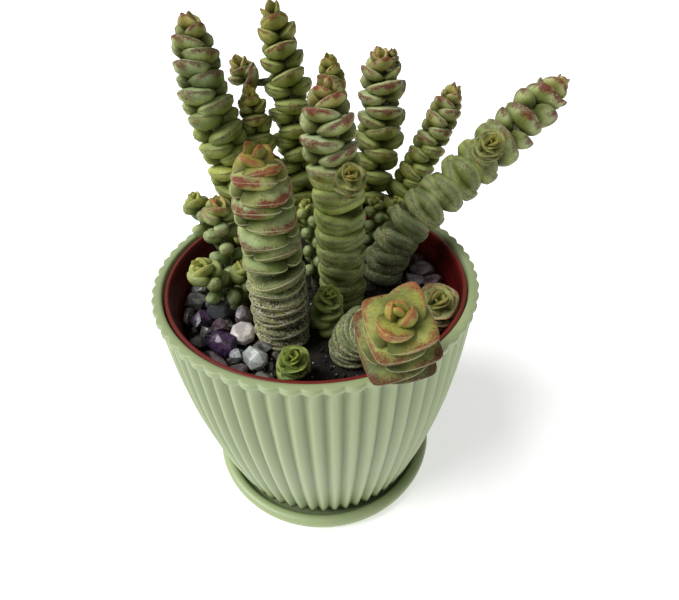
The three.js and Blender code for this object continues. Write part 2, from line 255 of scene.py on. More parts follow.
def surfaceGrain():
    # broad and fine unevenness that every surface here shares, as two masks
    group = bpy.data.node_groups.new("surfaceGrain", "ShaderNodeTree")
    for name, kind in (("Place", "Vector"), ("Broad", "Float"), ("Fine", "Float")):
        group.interface.new_socket(name=name, in_out="INPUT", socket_type="NodeSocket" + kind)
    for name in ("Cloud", "Speck"):
        group.interface.new_socket(name=name, in_out="OUTPUT", socket_type="NodeSocketFloat")
    start = group.nodes.new("NodeGroupInput")
    end = group.nodes.new("NodeGroupOutput")
    for name, scale, detail in (("Cloud", "Broad", 3), ("Speck", "Fine", 5)):
        node = newNode(group, "TexNoise", {
            "Vector": start.outputs["Place"], "Scale": start.outputs[scale], "Detail": detail})
        group.links.new(node.outputs["Fac"], end.inputs[name])
    return group


grainGroup = surfaceGrain()


def grain(tree, where, broad, fine):
    node = newNode(tree, "Group", {"Place": where, "Broad": broad, "Fine": fine}, node_tree=grainGroup)
    return node.outputs["Cloud"], node.outputs["Speck"]


# the darkest colour is painted shade, laid into the rib grooves and round the foot
sage = {"base": (154, 167, 124), "shade": (144, 159, 112), "paintedShade": (72, 84, 52),
        "grain": (28, 900), "roughness": 0.42, "relief": (0.06, 0.0002)}


def sagePlastic(look):
    material, tree, shader = newMaterial("sagePlastic")
    cloud, speck = grain(tree, objectPlace(tree), *look["grain"])
    colour = blended(tree, cloud, linear(*look["base"]), linear(*look["shade"]))
    # painted shade: the grooves and the foot turn towards the darkest colour
    paintedShade = newNode(tree, "Attribute", {}, attribute_name="paintedShade").outputs["Fac"]
    colour = blended(tree, paintedShade, colour, linear(*look["paintedShade"]))
    dressed(tree, shader, colour, look["roughness"], speck, look["relief"])
    return material


outerPot = {
    "ribs": 60,
    "pointsPerRib": 12,
    "grooveDepth": 2.1,
    "wallTop": 103.6,
    "sharpness": {"rim": 1, "wall": 1.5},
    # painted shade: how dark the grooves and the foot are painted, and between which heights
    "shading": {"paintedShade": 0.5, "foot": 0.9, "footTop": 9.5, "footFade": 3, "from": 3, "to": 103.5},
    # height, radius, share of the groove's depth
    "outside": [
        (2.5, 40, 0), (4.2, 43.4, 0.1), (4.8, 44.7, 0.5), (5.6, 45.8, 0.8), (6.8, 46.6, 0.9),
        (9, 47.3, 0.9), (14, 48.6, 0.9), (20, 50, 0.9), (28, 51.8, 0.9), (37, 53.5, 0.9), (46, 55, 0.9),
        (55, 56.3, 0.95), (64, 57.4, 0.95), (73, 58.2, 0.95), (82, 58.7, 0.95), (91, 58.95, 0.9),
        (99, 59.1, 0.9), (103, 59.15, 0.85), (103.4, 59.3, 0.7), (103.75, 59.75, 0.5), (104.1, 60, 0.5),
        (105.5, 60, 0.5), (105.85, 59.85, 0.5), (106, 59.5, 0.5),
    ],
    "rim": [(57.6, 106), (56.7, 105.85), (56.4, 105.4)],
    "inside": [(56.3, 98), (55.3, 82), (52.5, 55), (42.1, 6.1)],
}


def makeOuterPot(pot):
    (footHeight, footRadius, _), *wall = pot["outside"]
    profile = [(footRadius, footHeight)] + [(r, z) for z, r, _ in wall] + pot["rim"] + pot["inside"]
    perRib = pot["pointsPerRib"]
    steps = pot["ribs"] * perRib
    obj = turned("outerPot", profile, steps)
    enter("EDIT")

    def ribPoint(vert):
        turn = math.atan2(vert.co.y, vert.co.x) / (2 * math.pi) * steps
        return round(turn) % perRib

    for point in range(perRib // 2):
        for height, radius, share in pot["outside"]:
            if share == 0:
                continue
            # how deep this point of a rib lies: sharp notches in the rim, softer grooves in the wall
            power = pot["sharpness"]["rim" if height > pot["wallTop"] else "wall"]
            drop = 1 - math.sin(math.pi * point / perRib) ** power
            pickVerts(obj, lambda v: ribPoint(v) in (point, (-point) % perRib)
                      and abs(v.co.z - height * mm) < 0.02 * mm
                      and abs(v.co.xy.length - radius * mm) < 0.04 * mm)
            size = 1 - drop * share * pot["grooveDepth"] / radius
            bpy.ops.transform.resize(value=(size, size, 1), center_override=(0, 0, 0))
    enter("OBJECT")
    shading = pot["shading"]

    # painted shade for each point: deeper in the grooves, and darkest low down by the saucer
    def shade(vert):
        height = vert.co.z / mm
        if vert.normal.xy.dot(vert.co.xy) <= 0 or not shading["from"] < height < shading["to"]:
            return 0
        paintedShade = (1 - math.sin(math.pi * ribPoint(vert) / perRib)) ** 1.5 * shading["paintedShade"]
        return max(paintedShade, min((shading["footTop"] - height) / shading["footFade"], shading["foot"]))

    mark = obj.data.attributes.new("paintedShade", "FLOAT", "POINT")
    mark.data.foreach_set("value", [shade(v) for v in obj.data.vertices])
    smooth(obj, 50)
    return obj


saucer = {
    "profile": [
        (44, 0), (46.6, 0.15), (48.2, 0.9), (50.2, 2.2), (51.8, 3.6), (52.6, 4.9), (52.9, 6.1),
        (52.72, 7.05), (52.2, 7.85), (51.4, 8.4), (50.4, 8.6), (49.4, 8.4), (48.6, 7.85), (48.08, 7.05),
        (47.8, 6), (47.5, 4.6), (47, 3.4), (46.2, 2.6), (45, 2.25), (42, 2.2), (20, 2.2),
    ],
}

nurseryPot = {
    "profile": [
        (40.3, 6.6), (40.6, 6.75), (54.4, 102.5), (54.9, 102.9), (55.6, 103), (55.95, 103.3), (56, 103.8),
        (55.9, 104.5), (55.6, 104.8), (54.9, 104.85), (54.6, 104.7), (54.4, 104.3), (54.2, 103.3),
        (53.8, 101.9), (53.6, 101.1), (53.62, 100.7), (53.1, 97.8), (52.95, 97.6), (52.9, 97.1),
        (52.5, 95.2), (52.35, 95), (52.3, 94.5), (51.8, 91.2), (48, 65), (39.8, 8), (20, 7.6),
    ],
}

say("pots")
sagePlasticSkin = sagePlastic(sage)
finished(makeOuterPot(outerPot), "sage_plastic", sagePlasticSkin, "outer_pot")
saucerPiece = turned("saucer", saucer["profile"], 160)
smooth(saucerPiece, 60)
finished(saucerPiece, "sage_plastic", sagePlasticSkin, "saucer")


# the inside is painted darker than the lip: painted shade in the pot's hollow
brown = {"base": (96, 22, 18), "lip": (112, 36, 30), "inside": (74, 10, 8), "lipHeights": (0.1028, 0.104),
         "grain": (60, 700), "rings": 260, "roughness": 0.38, "relief": (0.35, 0.0002)}


def brownPlastic(look):
    material, tree, shader = newMaterial("brownPlastic")
    where = objectPlace(tree)
    cloud, _ = grain(tree, where, *look["grain"])
    height = newNode(tree, "SeparateXYZ", {0: where}).outputs["Z"]
    # painted shade: dark inside the pot, up to the lip's own colour above
    lip = ramped(tree, height, *look["lipHeights"])
    colour = blended(tree, lip, linear(*look["inside"]), linear(*look["lip"]))
    colour = blended(tree, sums(tree, "MULTIPLY", cloud, 0.5), colour, linear(*look["base"]))
    # fine rings left by turning the mould
    rings = {"Vector": where, "Scale": look["rings"], "Distortion": 0.4}
    rings = newNode(tree, "TexWave", rings, bands_direction="Z")
    dressed(tree, shader, colour, look["roughness"], rings.outputs["Fac"], look["relief"])
    return material


nurseryPiece = turned("nurseryPot", nurseryPot["profile"], 160)
smooth(nurseryPiece, 40)
finished(nurseryPiece, "brown_plastic", brownPlastic(brown), "nursery_pot")


soil = {"top": 91, "radius": 51.2, "bottomRadius": 39.2, "bottom": 8, "rings": 44, "segments": 120,
        "relief": 2.2, "seed": 5}

soilLook = {"light": (40, 31, 24), "dark": (10, 8, 6), "fleck": (150, 140, 125), "flecks": 520,
            "grain": (260, 1400), "roughness": 0.95, "relief": (0.9, 0.0008)}

# dark crumbs and white specks that lie on the soil
crumbs = {
    "soilCrumbs": {"skin": "soilCrumb", "count": 900, "sizes": (0.7, 2.4), "light": (46, 36, 29),
                   "dark": (15, 12, 9)},
    "soilSpecks": {"skin": "paleGrit", "count": 260, "sizes": (0.3, 0.9), "light": (205, 200, 188),
                   "dark": (150, 142, 130)},
}


def darkSoil(look):
    material, tree, shader = newMaterial("darkSoil")
    where = objectPlace(tree)
    cloud, speck = grain(tree, where, *look["grain"])
    colour = blended(tree, ramped(tree, cloud, 0.35, 0.7), linear(*look["dark"]), linear(*look["light"]))
    flecks = ramped(tree, cells(tree, where, look["flecks"]), 0.16, 0.05)
    flecks = sums(tree, "MULTIPLY", flecks, ramped(tree, speck, 0.52, 0.6))
    colour = blended(tree, flecks, colour, linear(*look["fleck"]))
    dressed(tree, shader, colour, look["roughness"], speck, look["relief"])
    return material


def crumbColour(look):
    material, tree, shader = newMaterial(look["skin"])
    cloud, speck = grain(tree, objectPlace(tree), 700, 2500)
    colour = blended(tree, ramped(tree, cloud, 0.35, 0.65), linear(*look["dark"]), linear(*look["light"]))
    dressed(tree, shader, colour, 0.9, speck, (0.6, 0.0003))
    return material


def makeSoil(bed):
    rings = bed["rings"]
    top = [(bed["radius"] * (1 - i / rings), bed["top"] - 0.1) for i in range(rings)]
    profile = [(bed["bottomRadius"], bed["bottom"]), (bed["radius"] - 0.3, bed["top"] - 1)]
    obj = turned("soil", profile + top, bed["segments"])
    group = obj.vertex_groups.new(name="crust")
    crust = [v.index for v in obj.data.vertices
             if v.co.z > (bed["top"] - 0.5) * mm and v.co.xy.length < (bed["radius"] - 0.6) * mm]
    group.add(crust, 1, "REPLACE")
    for name, scale, share in (("soilLumps", 0.006, 0.6), ("soilGrit", 0.0022, 0.4)):
        texture = bpy.data.textures.new(name, "CLOUDS")
        texture.noise_scale = scale
        modifier = obj.modifiers.new(name, "DISPLACE")
        modifier.texture = texture
        modifier.texture_coords = "LOCAL"
        modifier.direction = "Z"
        modifier.vertex_group = "crust"
        modifier.strength = bed["relief"] * share * mm
        modifier.mid_level = 0.5
    applyAll(obj)
    smooth(obj, 70)
    return obj


def tumbled(piece, place, size, least, most, draw):
    # laid down any way up; its other two sides are from least to most as long as the first
    piece.location = place
    piece.rotation_euler = [draw.uniform(0, 6) for _ in range(3)]
    piece.scale = (size, size * draw.uniform(least[0], most[0]), size * draw.uniform(least[1], most[1]))
    return piece


def scattered(name, look, bed, draw):
    # one rough crumb, copied over the soil
    bpy.ops.mesh.primitive_ico_sphere_add(subdivisions=1, radius=0.5)
    crumb = added(name)
    enter("EDIT")
    bpy.ops.transform.vertex_random(offset=0.12, seed=3)
    enter("OBJECT")
    pieces = []
    for _ in range(look["count"]):
        out = (bed["radius"] - 2) * math.sqrt(draw.random()) * mm
        turn = draw.uniform(0, 2 * math.pi)
        size = draw.uniform(*look["sizes"]) * mm
        place = (out * math.cos(turn), out * math.sin(turn), (bed["top"] + draw.uniform(0, 0.5)) * mm)
        pieces.append(tumbled(copyOf(crumb), place, size, (0.6, 0.5), (1, 0.9), draw))
    bpy.data.objects.remove(crumb)
    return joined(pieces, name)


say("soil")
draw = random.Random(soil["seed"])
finished(makeSoil(soil), "dark_soil", darkSoil(soilLook), "soil")
for name, look in crumbs.items():
    finished(scattered(name, look, soil, draw), "dark_soil", crumbColour(look), "soil")


# rough crystals: where each one lies, its width, depth and height in millimetres, its kind,
# and for some a turn in degrees, where the others turn by chance

chips = {
    "stone_1": (-46.8, -2.4, 9.5, 8.5, 5.5, "grey"), "stone_2": (-48.2, -12.2, 5, 8.5, 6, "grey"),
    "stone_3": (-40.5, -4, 7, 6.5, 5, "smoke"), "stone_4": (-43, -13.4, 9, 8, 6.5, "purple", 25),
    "stone_5": (-36.4, -10.6, 9.5, 8.5, 8.5, "smoke"), "stone_6": (-35.2, -18.6, 6.5, 6.5, 5.5, "plum"),
    "stone_7": (-40.3, -20, 5.5, 6, 5, "grey"), "stone_8": (-34.2, -27.2, 13, 8.5, 7, "purple", -25),
    "stone_9": (-43, -24.6, 7, 5, 5, "grey"), "stone_10": (-34.4, -34, 11, 4, 4, "rose", -42),
    "stone_11": (-27.8, -31.5, 6, 5, 4.5, "smoke"), "stone_12": (-27, -38.4, 6.5, 5, 4, "rose"),
    "stone_13": (-18.8, -43.4, 7, 5, 4.5, "grey"), "stone_14": (-19.4, -28.2, 8, 6.5, 4.5, "grey"),
    "stone_15": (-27.4, -13.8, 7, 6.5, 8, "rose"), "stone_16": (-47.4, 6.4, 7.5, 7.5, 5.5, "grey"),
    "stone_17": (44.5, 10, 10.5, 9, 6.5, "rose"), "stone_18": (46.3, 1.2, 8, 8.5, 6, "plum"),
    "stone_19": (39.4, 3.6, 8.5, 7.5, 5.5, "rose"), "stone_20": (43.4, 18.4, 8.5, 7.5, 5.5, "plum"),
}

stoneLooks = {
    "grey": {"slot": "grey_quartz", "light": (128, 126, 118), "dark": (72, 72, 68), "clear": 0.35},
    "smoke": {"slot": "grey_quartz", "light": (88, 92, 94), "dark": (36, 40, 46), "clear": 0.35},
    "purple": {"slot": "amethyst", "light": (74, 46, 84), "dark": (20, 8, 28), "clear": 0.3},
    "plum": {"slot": "amethyst", "light": (112, 92, 104), "dark": (54, 34, 44), "clear": 0.3},
    "rose": {"slot": "pale_crystal", "light": (144, 130, 132), "dark": (94, 82, 88), "clear": 0.35},
    "bead": {"slot": "pale_crystal", "light": (216, 210, 204), "dark": (180, 172, 168), "clear": 0.15},
    "glass": {"slot": "pale_crystal", "light": (236, 240, 236), "dark": (168, 174, 168), "clear": 0.3,
              "relief": 0.01},
}


def stoneSkin(name, look):
    material, tree, shader = newMaterial(name)
    where = objectPlace(tree)
    cloud, speck = grain(tree, where, 260, 900)
    colour = blended(tree, ramped(tree, cloud, 0.38, 0.62), linear(*look["dark"]), linear(*look["light"]))
    # cloudy veins inside the crystal
    veins = ramped(tree, cells(tree, where, 330, "DISTANCE_TO_EDGE"), 0.06, 0)
    colour = blended(tree, sums(tree, "MULTIPLY", veins, 0.1), colour, linear(200, 198, 200))
    dressed(tree, shader, colour, ramped(tree, speck, -0.2, 1.6), speck, (look.get("relief", 0.15), 0.0003),
            {"Transmission Weight": look["clear"], "IOR": 1.5})
    return material


stoneSkins = {kind: stoneSkin(kind + "Stone", look) for kind, look in stoneLooks.items()}


def bevelled(obj, width):
    modifier = obj.modifiers.new("edges", "BEVEL")
    modifier.width = width * mm
    modifier.segments = 2
    modifier.limit_method = "ANGLE"
    modifier.angle_limit = math.radians(12)
    applyAll(obj)
    smooth(obj, 25)


chipCut = {"rounds": 3, "cuts": 13, "bevel": 0.22, "lift": 0.2}


def cutChip(name, rounds, cuts, draw):
    # a rough round lump, cut flat by planes from all sides
    bpy.ops.mesh.primitive_ico_sphere_add(subdivisions=rounds, radius=0.56)
    obj = added(name)
    enter("EDIT")
    for _ in range(cuts):
        normal = Vector((draw.gauss(0, 1), draw.gauss(0, 1), draw.gauss(0, 1))).normalized()
        bpy.ops.mesh.select_all(action="SELECT")
        bpy.ops.mesh.bisect(plane_co=normal * draw.uniform(0.3, 0.45), plane_no=normal,
                            use_fill=True, clear_outer=True)
    bpy.ops.mesh.select_all(action="SELECT")
    bpy.ops.mesh.dissolve_limited(angle_limit=math.radians(6))
    enter("OBJECT")
    return obj


def makeChip(name, chip, draw):
    x, y, width, depth, height = [s * mm for s in chip[:5]]
    obj = cutChip(name, chipCut["rounds"], chipCut["cuts"], draw)
    obj.scale = [size / extent for size, extent in zip((width, depth, height), obj.dimensions)]
    byChance = draw.uniform(-20, 20)
    obj.rotation_euler = (0, 0, math.radians(chip[6] if len(chip) > 6 else byChance))
    settle(obj)
    low = min(v.co.z for v in obj.data.vertices)
    obj.location = (x, y, (soil["top"] + chipCut["lift"]) * mm - low)
    settle(obj)
    bevelled(obj, chipCut["bevel"])
    return obj


# small quartz gravel that fills the gaps between the larger stones
gravel = {"count": 150, "sizes": (2.4, 4.6), "out": 49.6,
          "left": (-52, -13, -46, 12), "right": (32, 52, -8, 26), "leftShare": 0.72,
          "rounds": 1, "cuts": 5, "kinds": 4}


def makeGravel(bed, draw):
    kinds = [cutChip("gravelChip", bed["rounds"], bed["cuts"], draw) for _ in range(bed["kinds"])]
    pieces = []
    while len(pieces) < bed["count"]:
        fromX, toX, fromY, toY = bed["left" if len(pieces) < bed["count"] * bed["leftShare"] else "right"]
        x, y = draw.uniform(fromX, toX), draw.uniform(fromY, toY)
        if math.hypot(x, y) > bed["out"] or (x < 0 and x > -24 and y > -24):
            continue
        piece = copyOf(draw.choice(kinds))
        size = draw.uniform(*bed["sizes"]) * mm
        place = (x * mm, y * mm, soil["top"] * mm + 0.16 * size)
        pieces.append(tumbled(piece, place, size, (0.7, 0.5), (1, 0.8), draw))
    for kind in kinds:
        bpy.data.objects.remove(kind)
    return joined(pieces, "quartzGravel")


bead = {"at": (-27.1, -22.6, 94.8), "radius": 4.5, "depth": 2.4, "inset": 1.3, "slope": 1.1,
        "lean": (0.22, 0.05, 0.2), "bevel": 0.2}


def makeBead(look):
    # an eight-sided drum with flat slopes to its two faces, leaning back
    bpy.ops.mesh.primitive_cylinder_add(vertices=8, radius=look["radius"] * mm, depth=look["depth"] * mm)
    obj = added("bead")
    enter("EDIT")
    for top in (1, -1):
        pickFaces(obj, lambda f: f.normal.z * top > 0.9)
        bpy.ops.mesh.inset(thickness=look["inset"] * mm, depth=look["slope"] * mm)
    enter("OBJECT")
    obj.rotation_euler = look["lean"]
    obj.location = [c * mm for c in look["at"]]
    settle(obj)
    bevelled(obj, look["bevel"])
    return obj


clearCrystal = {"at": (-22.2, -34.3, 94.2), "radius": 3.7, "length": 6, "narrow": 0.9, "point": 2,
                "ends": (0.2, 0.45), "lean": (80, 10, 34), "bevel": 0.12}


def makeClearCrystal(look):
    # a short six-sided quartz with a blunt point at each end
    radius = look["radius"] * mm
    bpy.ops.mesh.primitive_cone_add(
        vertices=6, radius1=radius * look["narrow"], radius2=radius, depth=look["length"] * mm)
    obj = added("clearCrystal")
    enter("EDIT")
    for up, share in zip((1, -1), look["ends"]):
        pickFaces(obj, lambda f: f.normal.z * up > 0.9)
        bpy.ops.mesh.extrude_region_move(
            TRANSFORM_OT_translate={"value": (0.5 * mm, 0, up * look["point"] * mm)})
        bpy.ops.transform.resize(value=(share, share, 1))
    enter("OBJECT")
    obj.rotation_euler = [math.radians(a) for a in look["lean"]]
    obj.location = [c * mm for c in look["at"]]
    settle(obj)
    bevelled(obj, look["bevel"])
    return obj


say("stones")
for name, chip in chips.items():
    kind = chip[5]
    piece = makeChip(name.replace("stone_", "chip"), chip, draw)
    finished(piece, stoneLooks[kind]["slot"], stoneSkins[kind], name)
finished(makeBead(bead), "pale_crystal", stoneSkins["bead"], "stone_bead")
finished(makeClearCrystal(clearCrystal), "pale_crystal", stoneSkins["glass"], "stone_clear")
finished(makeGravel(gravel, draw), "grey_quartz", stoneSkins["grey"], "soil")


# one row a ring: place along the leaf, half width, height of the top, depth of the underside
leafShapes = {
    "lens": {
        "rows": [(0.02, 0.66, 0.12, 0.34), (0.22, 0.86, 0.20, 0.52), (0.5, 0.84, 0.22, 0.58),
                 (0.77, 0.58, 0.15, 0.46), (0.93, 0.26, 0.07, 0.24)],
        "base": -0.06, "rise": 0.06, "crease": 0.35,
    },
    "clasp": {
        "rows": [(0.0, 0.80, 0.40, 0.36), (0.2, 0.88, 0.42, 0.40), (0.45, 0.76, 0.37, 0.40),
                 (0.72, 0.47, 0.25, 0.30), (0.9, 0.20, 0.12, 0.16)],
        "base": -0.12, "rise": -0.04, "crease": 0.45,
    },
    "plate": {
        "rows": [(0.0, 0.72, 0.24, 0.50), (0.2, 0.77, 0.26, 0.58), (0.45, 0.64, 0.23, 0.60),
                 (0.72, 0.37, 0.16, 0.50), (0.9, 0.15, 0.07, 0.28)],
        "base": -0.12, "rise": 0.02, "crease": 0.35,
    },
    "inner": {
        "rows": [(0.0, 0.44, 0.10, 0.40), (0.2, 0.52, 0.08, 0.50), (0.46, 0.52, 0.06, 0.52),
                 (0.73, 0.35, 0.06, 0.44), (0.91, 0.15, 0.04, 0.24)],
        "base": -0.06, "rise": 0.08, "crease": 0.3,
    },
    "rosette": {
        "rows": [(0.0, 0.78, 0.08, 0.40), (0.22, 0.88, 0.10, 0.52), (0.5, 0.78, 0.09, 0.52),
                 (0.76, 0.48, 0.06, 0.42), (0.92, 0.20, 0.03, 0.22)],
        "base": -0.1, "rise": 0.06, "crease": 0.6,
    },
    "plump": {
        "rows": [(0.02, 0.58, 0.14, 0.36), (0.22, 0.78, 0.24, 0.50), (0.5, 0.84, 0.26, 0.55),
                 (0.77, 0.66, 0.20, 0.47), (0.94, 0.34, 0.10, 0.28)],
        "base": -0.04, "rise": 0.02, "crease": 0,
    },
    "bean": {
        "rows": [(0.02, 0.31, 0.20, 0.32), (0.24, 0.36, 0.25, 0.37), (0.54, 0.41, 0.28, 0.40),
                 (0.81, 0.39, 0.25, 0.37), (0.96, 0.24, 0.15, 0.24)],
        "base": -0.04, "rise": 0.02, "crease": 0,
    },
    "bud": {
        "rows": [(0.05, 0.42, 0.06, 0.30), (0.25, 0.50, 0.08, 0.40), (0.52, 0.46, 0.08, 0.40),
                 (0.78, 0.30, 0.05, 0.30), (0.94, 0.12, 0.02, 0.14)],
        "base": 0, "rise": 0.06, "crease": 0.3,
    },
}
leafDepth = 0.6
leafLine = 0.024

# older pairs grown into one collar round the stem: rows of width and height from the underside up,
# how far the outline reaches every 22.5 degrees from the tips, and how much the tips stand higher
collarShapes = {
    "drum": {
        "rows": [(0.60, -0.80), (0.95, -0.52), (1.0, -0.02), (0.93, 0.36), (0.55, 0.46)],
        "outline": (1.05, 0.98, 0.92, 0.89, 0.87), "lift": 0.24, "crease": 0.4,
        "creased": (1, 3), "line": 0.01,
    },
    "ring": {
        "rows": [(0.60, -0.95), (0.91, -0.85), (1.0, 0), (0.93, 0.14), (0.55, 0.20)],
        "outline": (1.03, 0.97, 0.92, 0.89, 0.87), "lift": 0.34, "crease": 0.5, "creased": (2,), "line": 0.02,
    },
}


def marked(obj, points, line):
    # along the leaf, how wide its margin line is, and where on it: 0 on top, 0.5 at the margin, 1 underneath
    mark = obj.data.attributes.new("leafMark", "FLOAT_COLOR", "POINT")
    mark.data.foreach_set("color", [value for along, face in points for value in (along, line, face, 1)])
    return obj


def rounded(obj, levels):
    if levels:
        modifier = obj.modifiers.new("round", "SUBSURF")
        modifier.levels = modifier.render_levels = levels
        applyAll(obj)
    smooth(obj, 58)
    return obj


def creaseMargin(obj, onMargin, amount):
    bm = bmesh.from_edit_mesh(obj.data)
    for edge in bm.edges:
        edge.select = all(v.index in onMargin for v in edge.verts)
    bmesh.update_edit_mesh(obj.data)
    bpy.ops.transform.edge_crease(value=amount)
    bpy.ops.mesh.select_all(action="SELECT")
    bpy.ops.mesh.normals_make_consistent(inside=False)


def makeLeaf(name, shape, levels):
    bpy.ops.mesh.primitive_uv_sphere_add(segments=12, ring_count=6, radius=0.5,
                                         location=(0.5, 0, 0), rotation=(0, math.pi / 2, 0))
    obj = added(name)
    settle(obj)
    points = [v.co.copy() for v in obj.data.vertices]
    above = {i for i, p in enumerate(points) if p.z > 1e-4}
    below = {i for i, p in enumerate(points) if p.z < -1e-4}
    slopes = [p.z / max(math.hypot(p.y, p.z), 1e-3) for p in points]
    faces = [0.5 - math.asin(max(-1, min(1, slope))) / math.pi for slope in slopes]
    places = sorted({round(p.x, 3) for p in points})[1:-1]
    enter("EDIT")
    for oldPlace, (place, halfWidth, top, under) in zip(places, shape["rows"]):
        row = {i for i, p in enumerate(points) if abs(p.x - oldPlace) < 0.002}
        radius = 0.5 * math.sin(math.acos(1 - 2 * oldPlace))
        pivot = (oldPlace, 0, 0)
        pickVerts(obj, lambda v: v.index in row and v.index in above)
        bpy.ops.transform.resize(value=(1, 1, top / radius), center_override=pivot)
        pickVerts(obj, lambda v: v.index in row and v.index in below)
        bpy.ops.transform.resize(value=(1, 1, under / radius), center_override=pivot)
        pickVerts(obj, lambda v: v.index in row)
        bpy.ops.transform.resize(value=(1, halfWidth / radius, 1), center_override=pivot)
        bpy.ops.transform.translate(value=(place - oldPlace, 0, shape["rise"] * place ** 2))
    pickVerts(obj, lambda v: points[v.index].x > 0.99)
    bpy.ops.transform.translate(value=(0, 0, shape["rise"]))
    pickVerts(obj, lambda v: points[v.index].x < 0.01)
    bpy.ops.transform.translate(value=(shape["base"], 0, 0))
    creaseMargin(obj, {i for i in range(len(points)) if i not in above and i not in below}, shape["crease"])
    enter("OBJECT")
    marks = [(min(max(v.co.x, 0), 1), face) for v, face in zip(obj.data.vertices, faces)]
    return rounded(marked(obj, marks, leafLine), levels)


def makeCollar(name, shape, levels):
    bpy.ops.mesh.primitive_uv_sphere_add(segments=16, ring_count=6, radius=1)
    obj = added(name)
    points = [v.co.copy() for v in obj.data.vertices]
    heights = sorted({round(p.z, 3) for p in points})[1:-1]
    rowOf = [next((i for i, z in enumerate(heights) if abs(p.z - z) < 0.01), -1) for p in points]
    # how far round from the nearer tip each point lies, in steps of 22.5 degrees
    stepOf = [round(math.degrees(math.atan2(abs(p.y), abs(p.x))) / 22.5) for p in points]
    enter("EDIT")
    for row, (oldHeight, (width, height)) in enumerate(zip(heights, shape["rows"])):
        size = width / math.sqrt(1 - oldHeight ** 2)
        for step, reach in enumerate(shape["outline"]):
            pickVerts(obj, lambda v: rowOf[v.index] == row and stepOf[v.index] == step)
            bpy.ops.transform.resize(value=(size * reach, size * reach, 1), center_override=(0, 0, 0))
            lift = shape["lift"] * math.cos(math.radians(45 * step)) * width ** 2
            bpy.ops.transform.translate(value=(0, 0, height - oldHeight + lift))
    for end in (0, -1):
        pickVerts(obj, lambda v: rowOf[v.index] < 0 and points[v.index].z * (end + 0.5) < 0)
        bpy.ops.transform.translate(value=(0, 0, shape["rows"][end][1] * 1.08 + end + 1 + end))
    for creased in shape["creased"]:
        creaseMargin(obj, {i for i, row in enumerate(rowOf) if row == creased}, shape["crease"])
    enter("OBJECT")
    # the first value is low near the stem and between the tips: there the leaf skin paints shade and keeps
    # the red away
    marks = [(p.xy.length ** 4 * (0.5 + 0.5 * math.cos(math.radians(22.5 * step)) ** 1.5),
              0.5 - math.asin(max(-1, min(1, p.z))) / math.pi) for p, step in zip(points, stepOf)]
    return rounded(marked(obj, marks, shape["line"]), levels)


pathSteps = 40


def walkPath(points):
    # a smooth line through a stem's points in millimetres, and how far along it each of its places lies
    points = [Vector(p) for p in points]
    points = [2 * points[0] - points[1], *points, 2 * points[-1] - points[-2]]
    line = []
    for before, start, end, after in zip(points, points[1:], points[2:], points[3:]):
        for step in range(pathSteps):
            t = step / pathSteps
            outward, inward = (end - before) / 2, (after - start) / 2
            line.append((2 * t ** 3 - 3 * t ** 2 + 1) * start + (t ** 3 - 2 * t ** 2 + t) * outward
                        + (-2 * t ** 3 + 3 * t ** 2) * end + (t ** 3 - t ** 2) * inward)
    line.append(points[-2])
    walked = [0]
    for a, b in zip(line, line[1:]):
        walked.append(walked[-1] + (b - a).length)
    return line, walked


def standAt(path, distance):
    line, walked = path
    distance = min(max(distance, 0), walked[-1])
    i = max(k for k in range(len(walked) - 1) if walked[k] <= distance)
    share = (distance - walked[i]) / (walked[i + 1] - walked[i])
    ahead = (line[min(i + 2, len(line) - 1)] - line[max(i - 1, 0)]).normalized()
    right = Vector((0, 1, 0)).cross(ahead).normalized()
    return line[i].lerp(line[i + 1], share), ahead, right, ahead.cross(right)


# from the tip down: length, tilt and spacing of the youngest pairs, as shares and degrees
youngTip = {"length": (0.44, 0.66, 0.86, 0.97), "tilt": (56, 40, 28, 20), "step": (0.42, 0.56, 0.74, 0.92)}
rosetteTip = {"length": (0.3, 0.48, 0.68, 0.85, 0.96), "tilt": (58, 44, 32, 24, 18),
              "step": (0.2, 0.3, 0.42, 0.55, 0.8)}
slimTip = {"length": (0.55, 0.78, 0.9, 0.98), "tilt": (54, 34, 24, 18), "step": (0.4, 0.8, 0.95, 1)}
openTip = {"length": (0.55, 0.76, 0.92, 1), "tilt": (42, 26, 12, 4), "step": (0.5, 0.65, 0.85, 0.95)}
beanTip = {"length": (0.5, 0.78, 0.96, 1), "tilt": (62, 42, 24, 10), "step": (0.2, 0.42, 0.9, 1)}

# the leaf colours below are as the eye sees them in this light
leafDeep, redDeep = (0.96, 0.93, 0.66), (0.88, 0.68, 0.58)

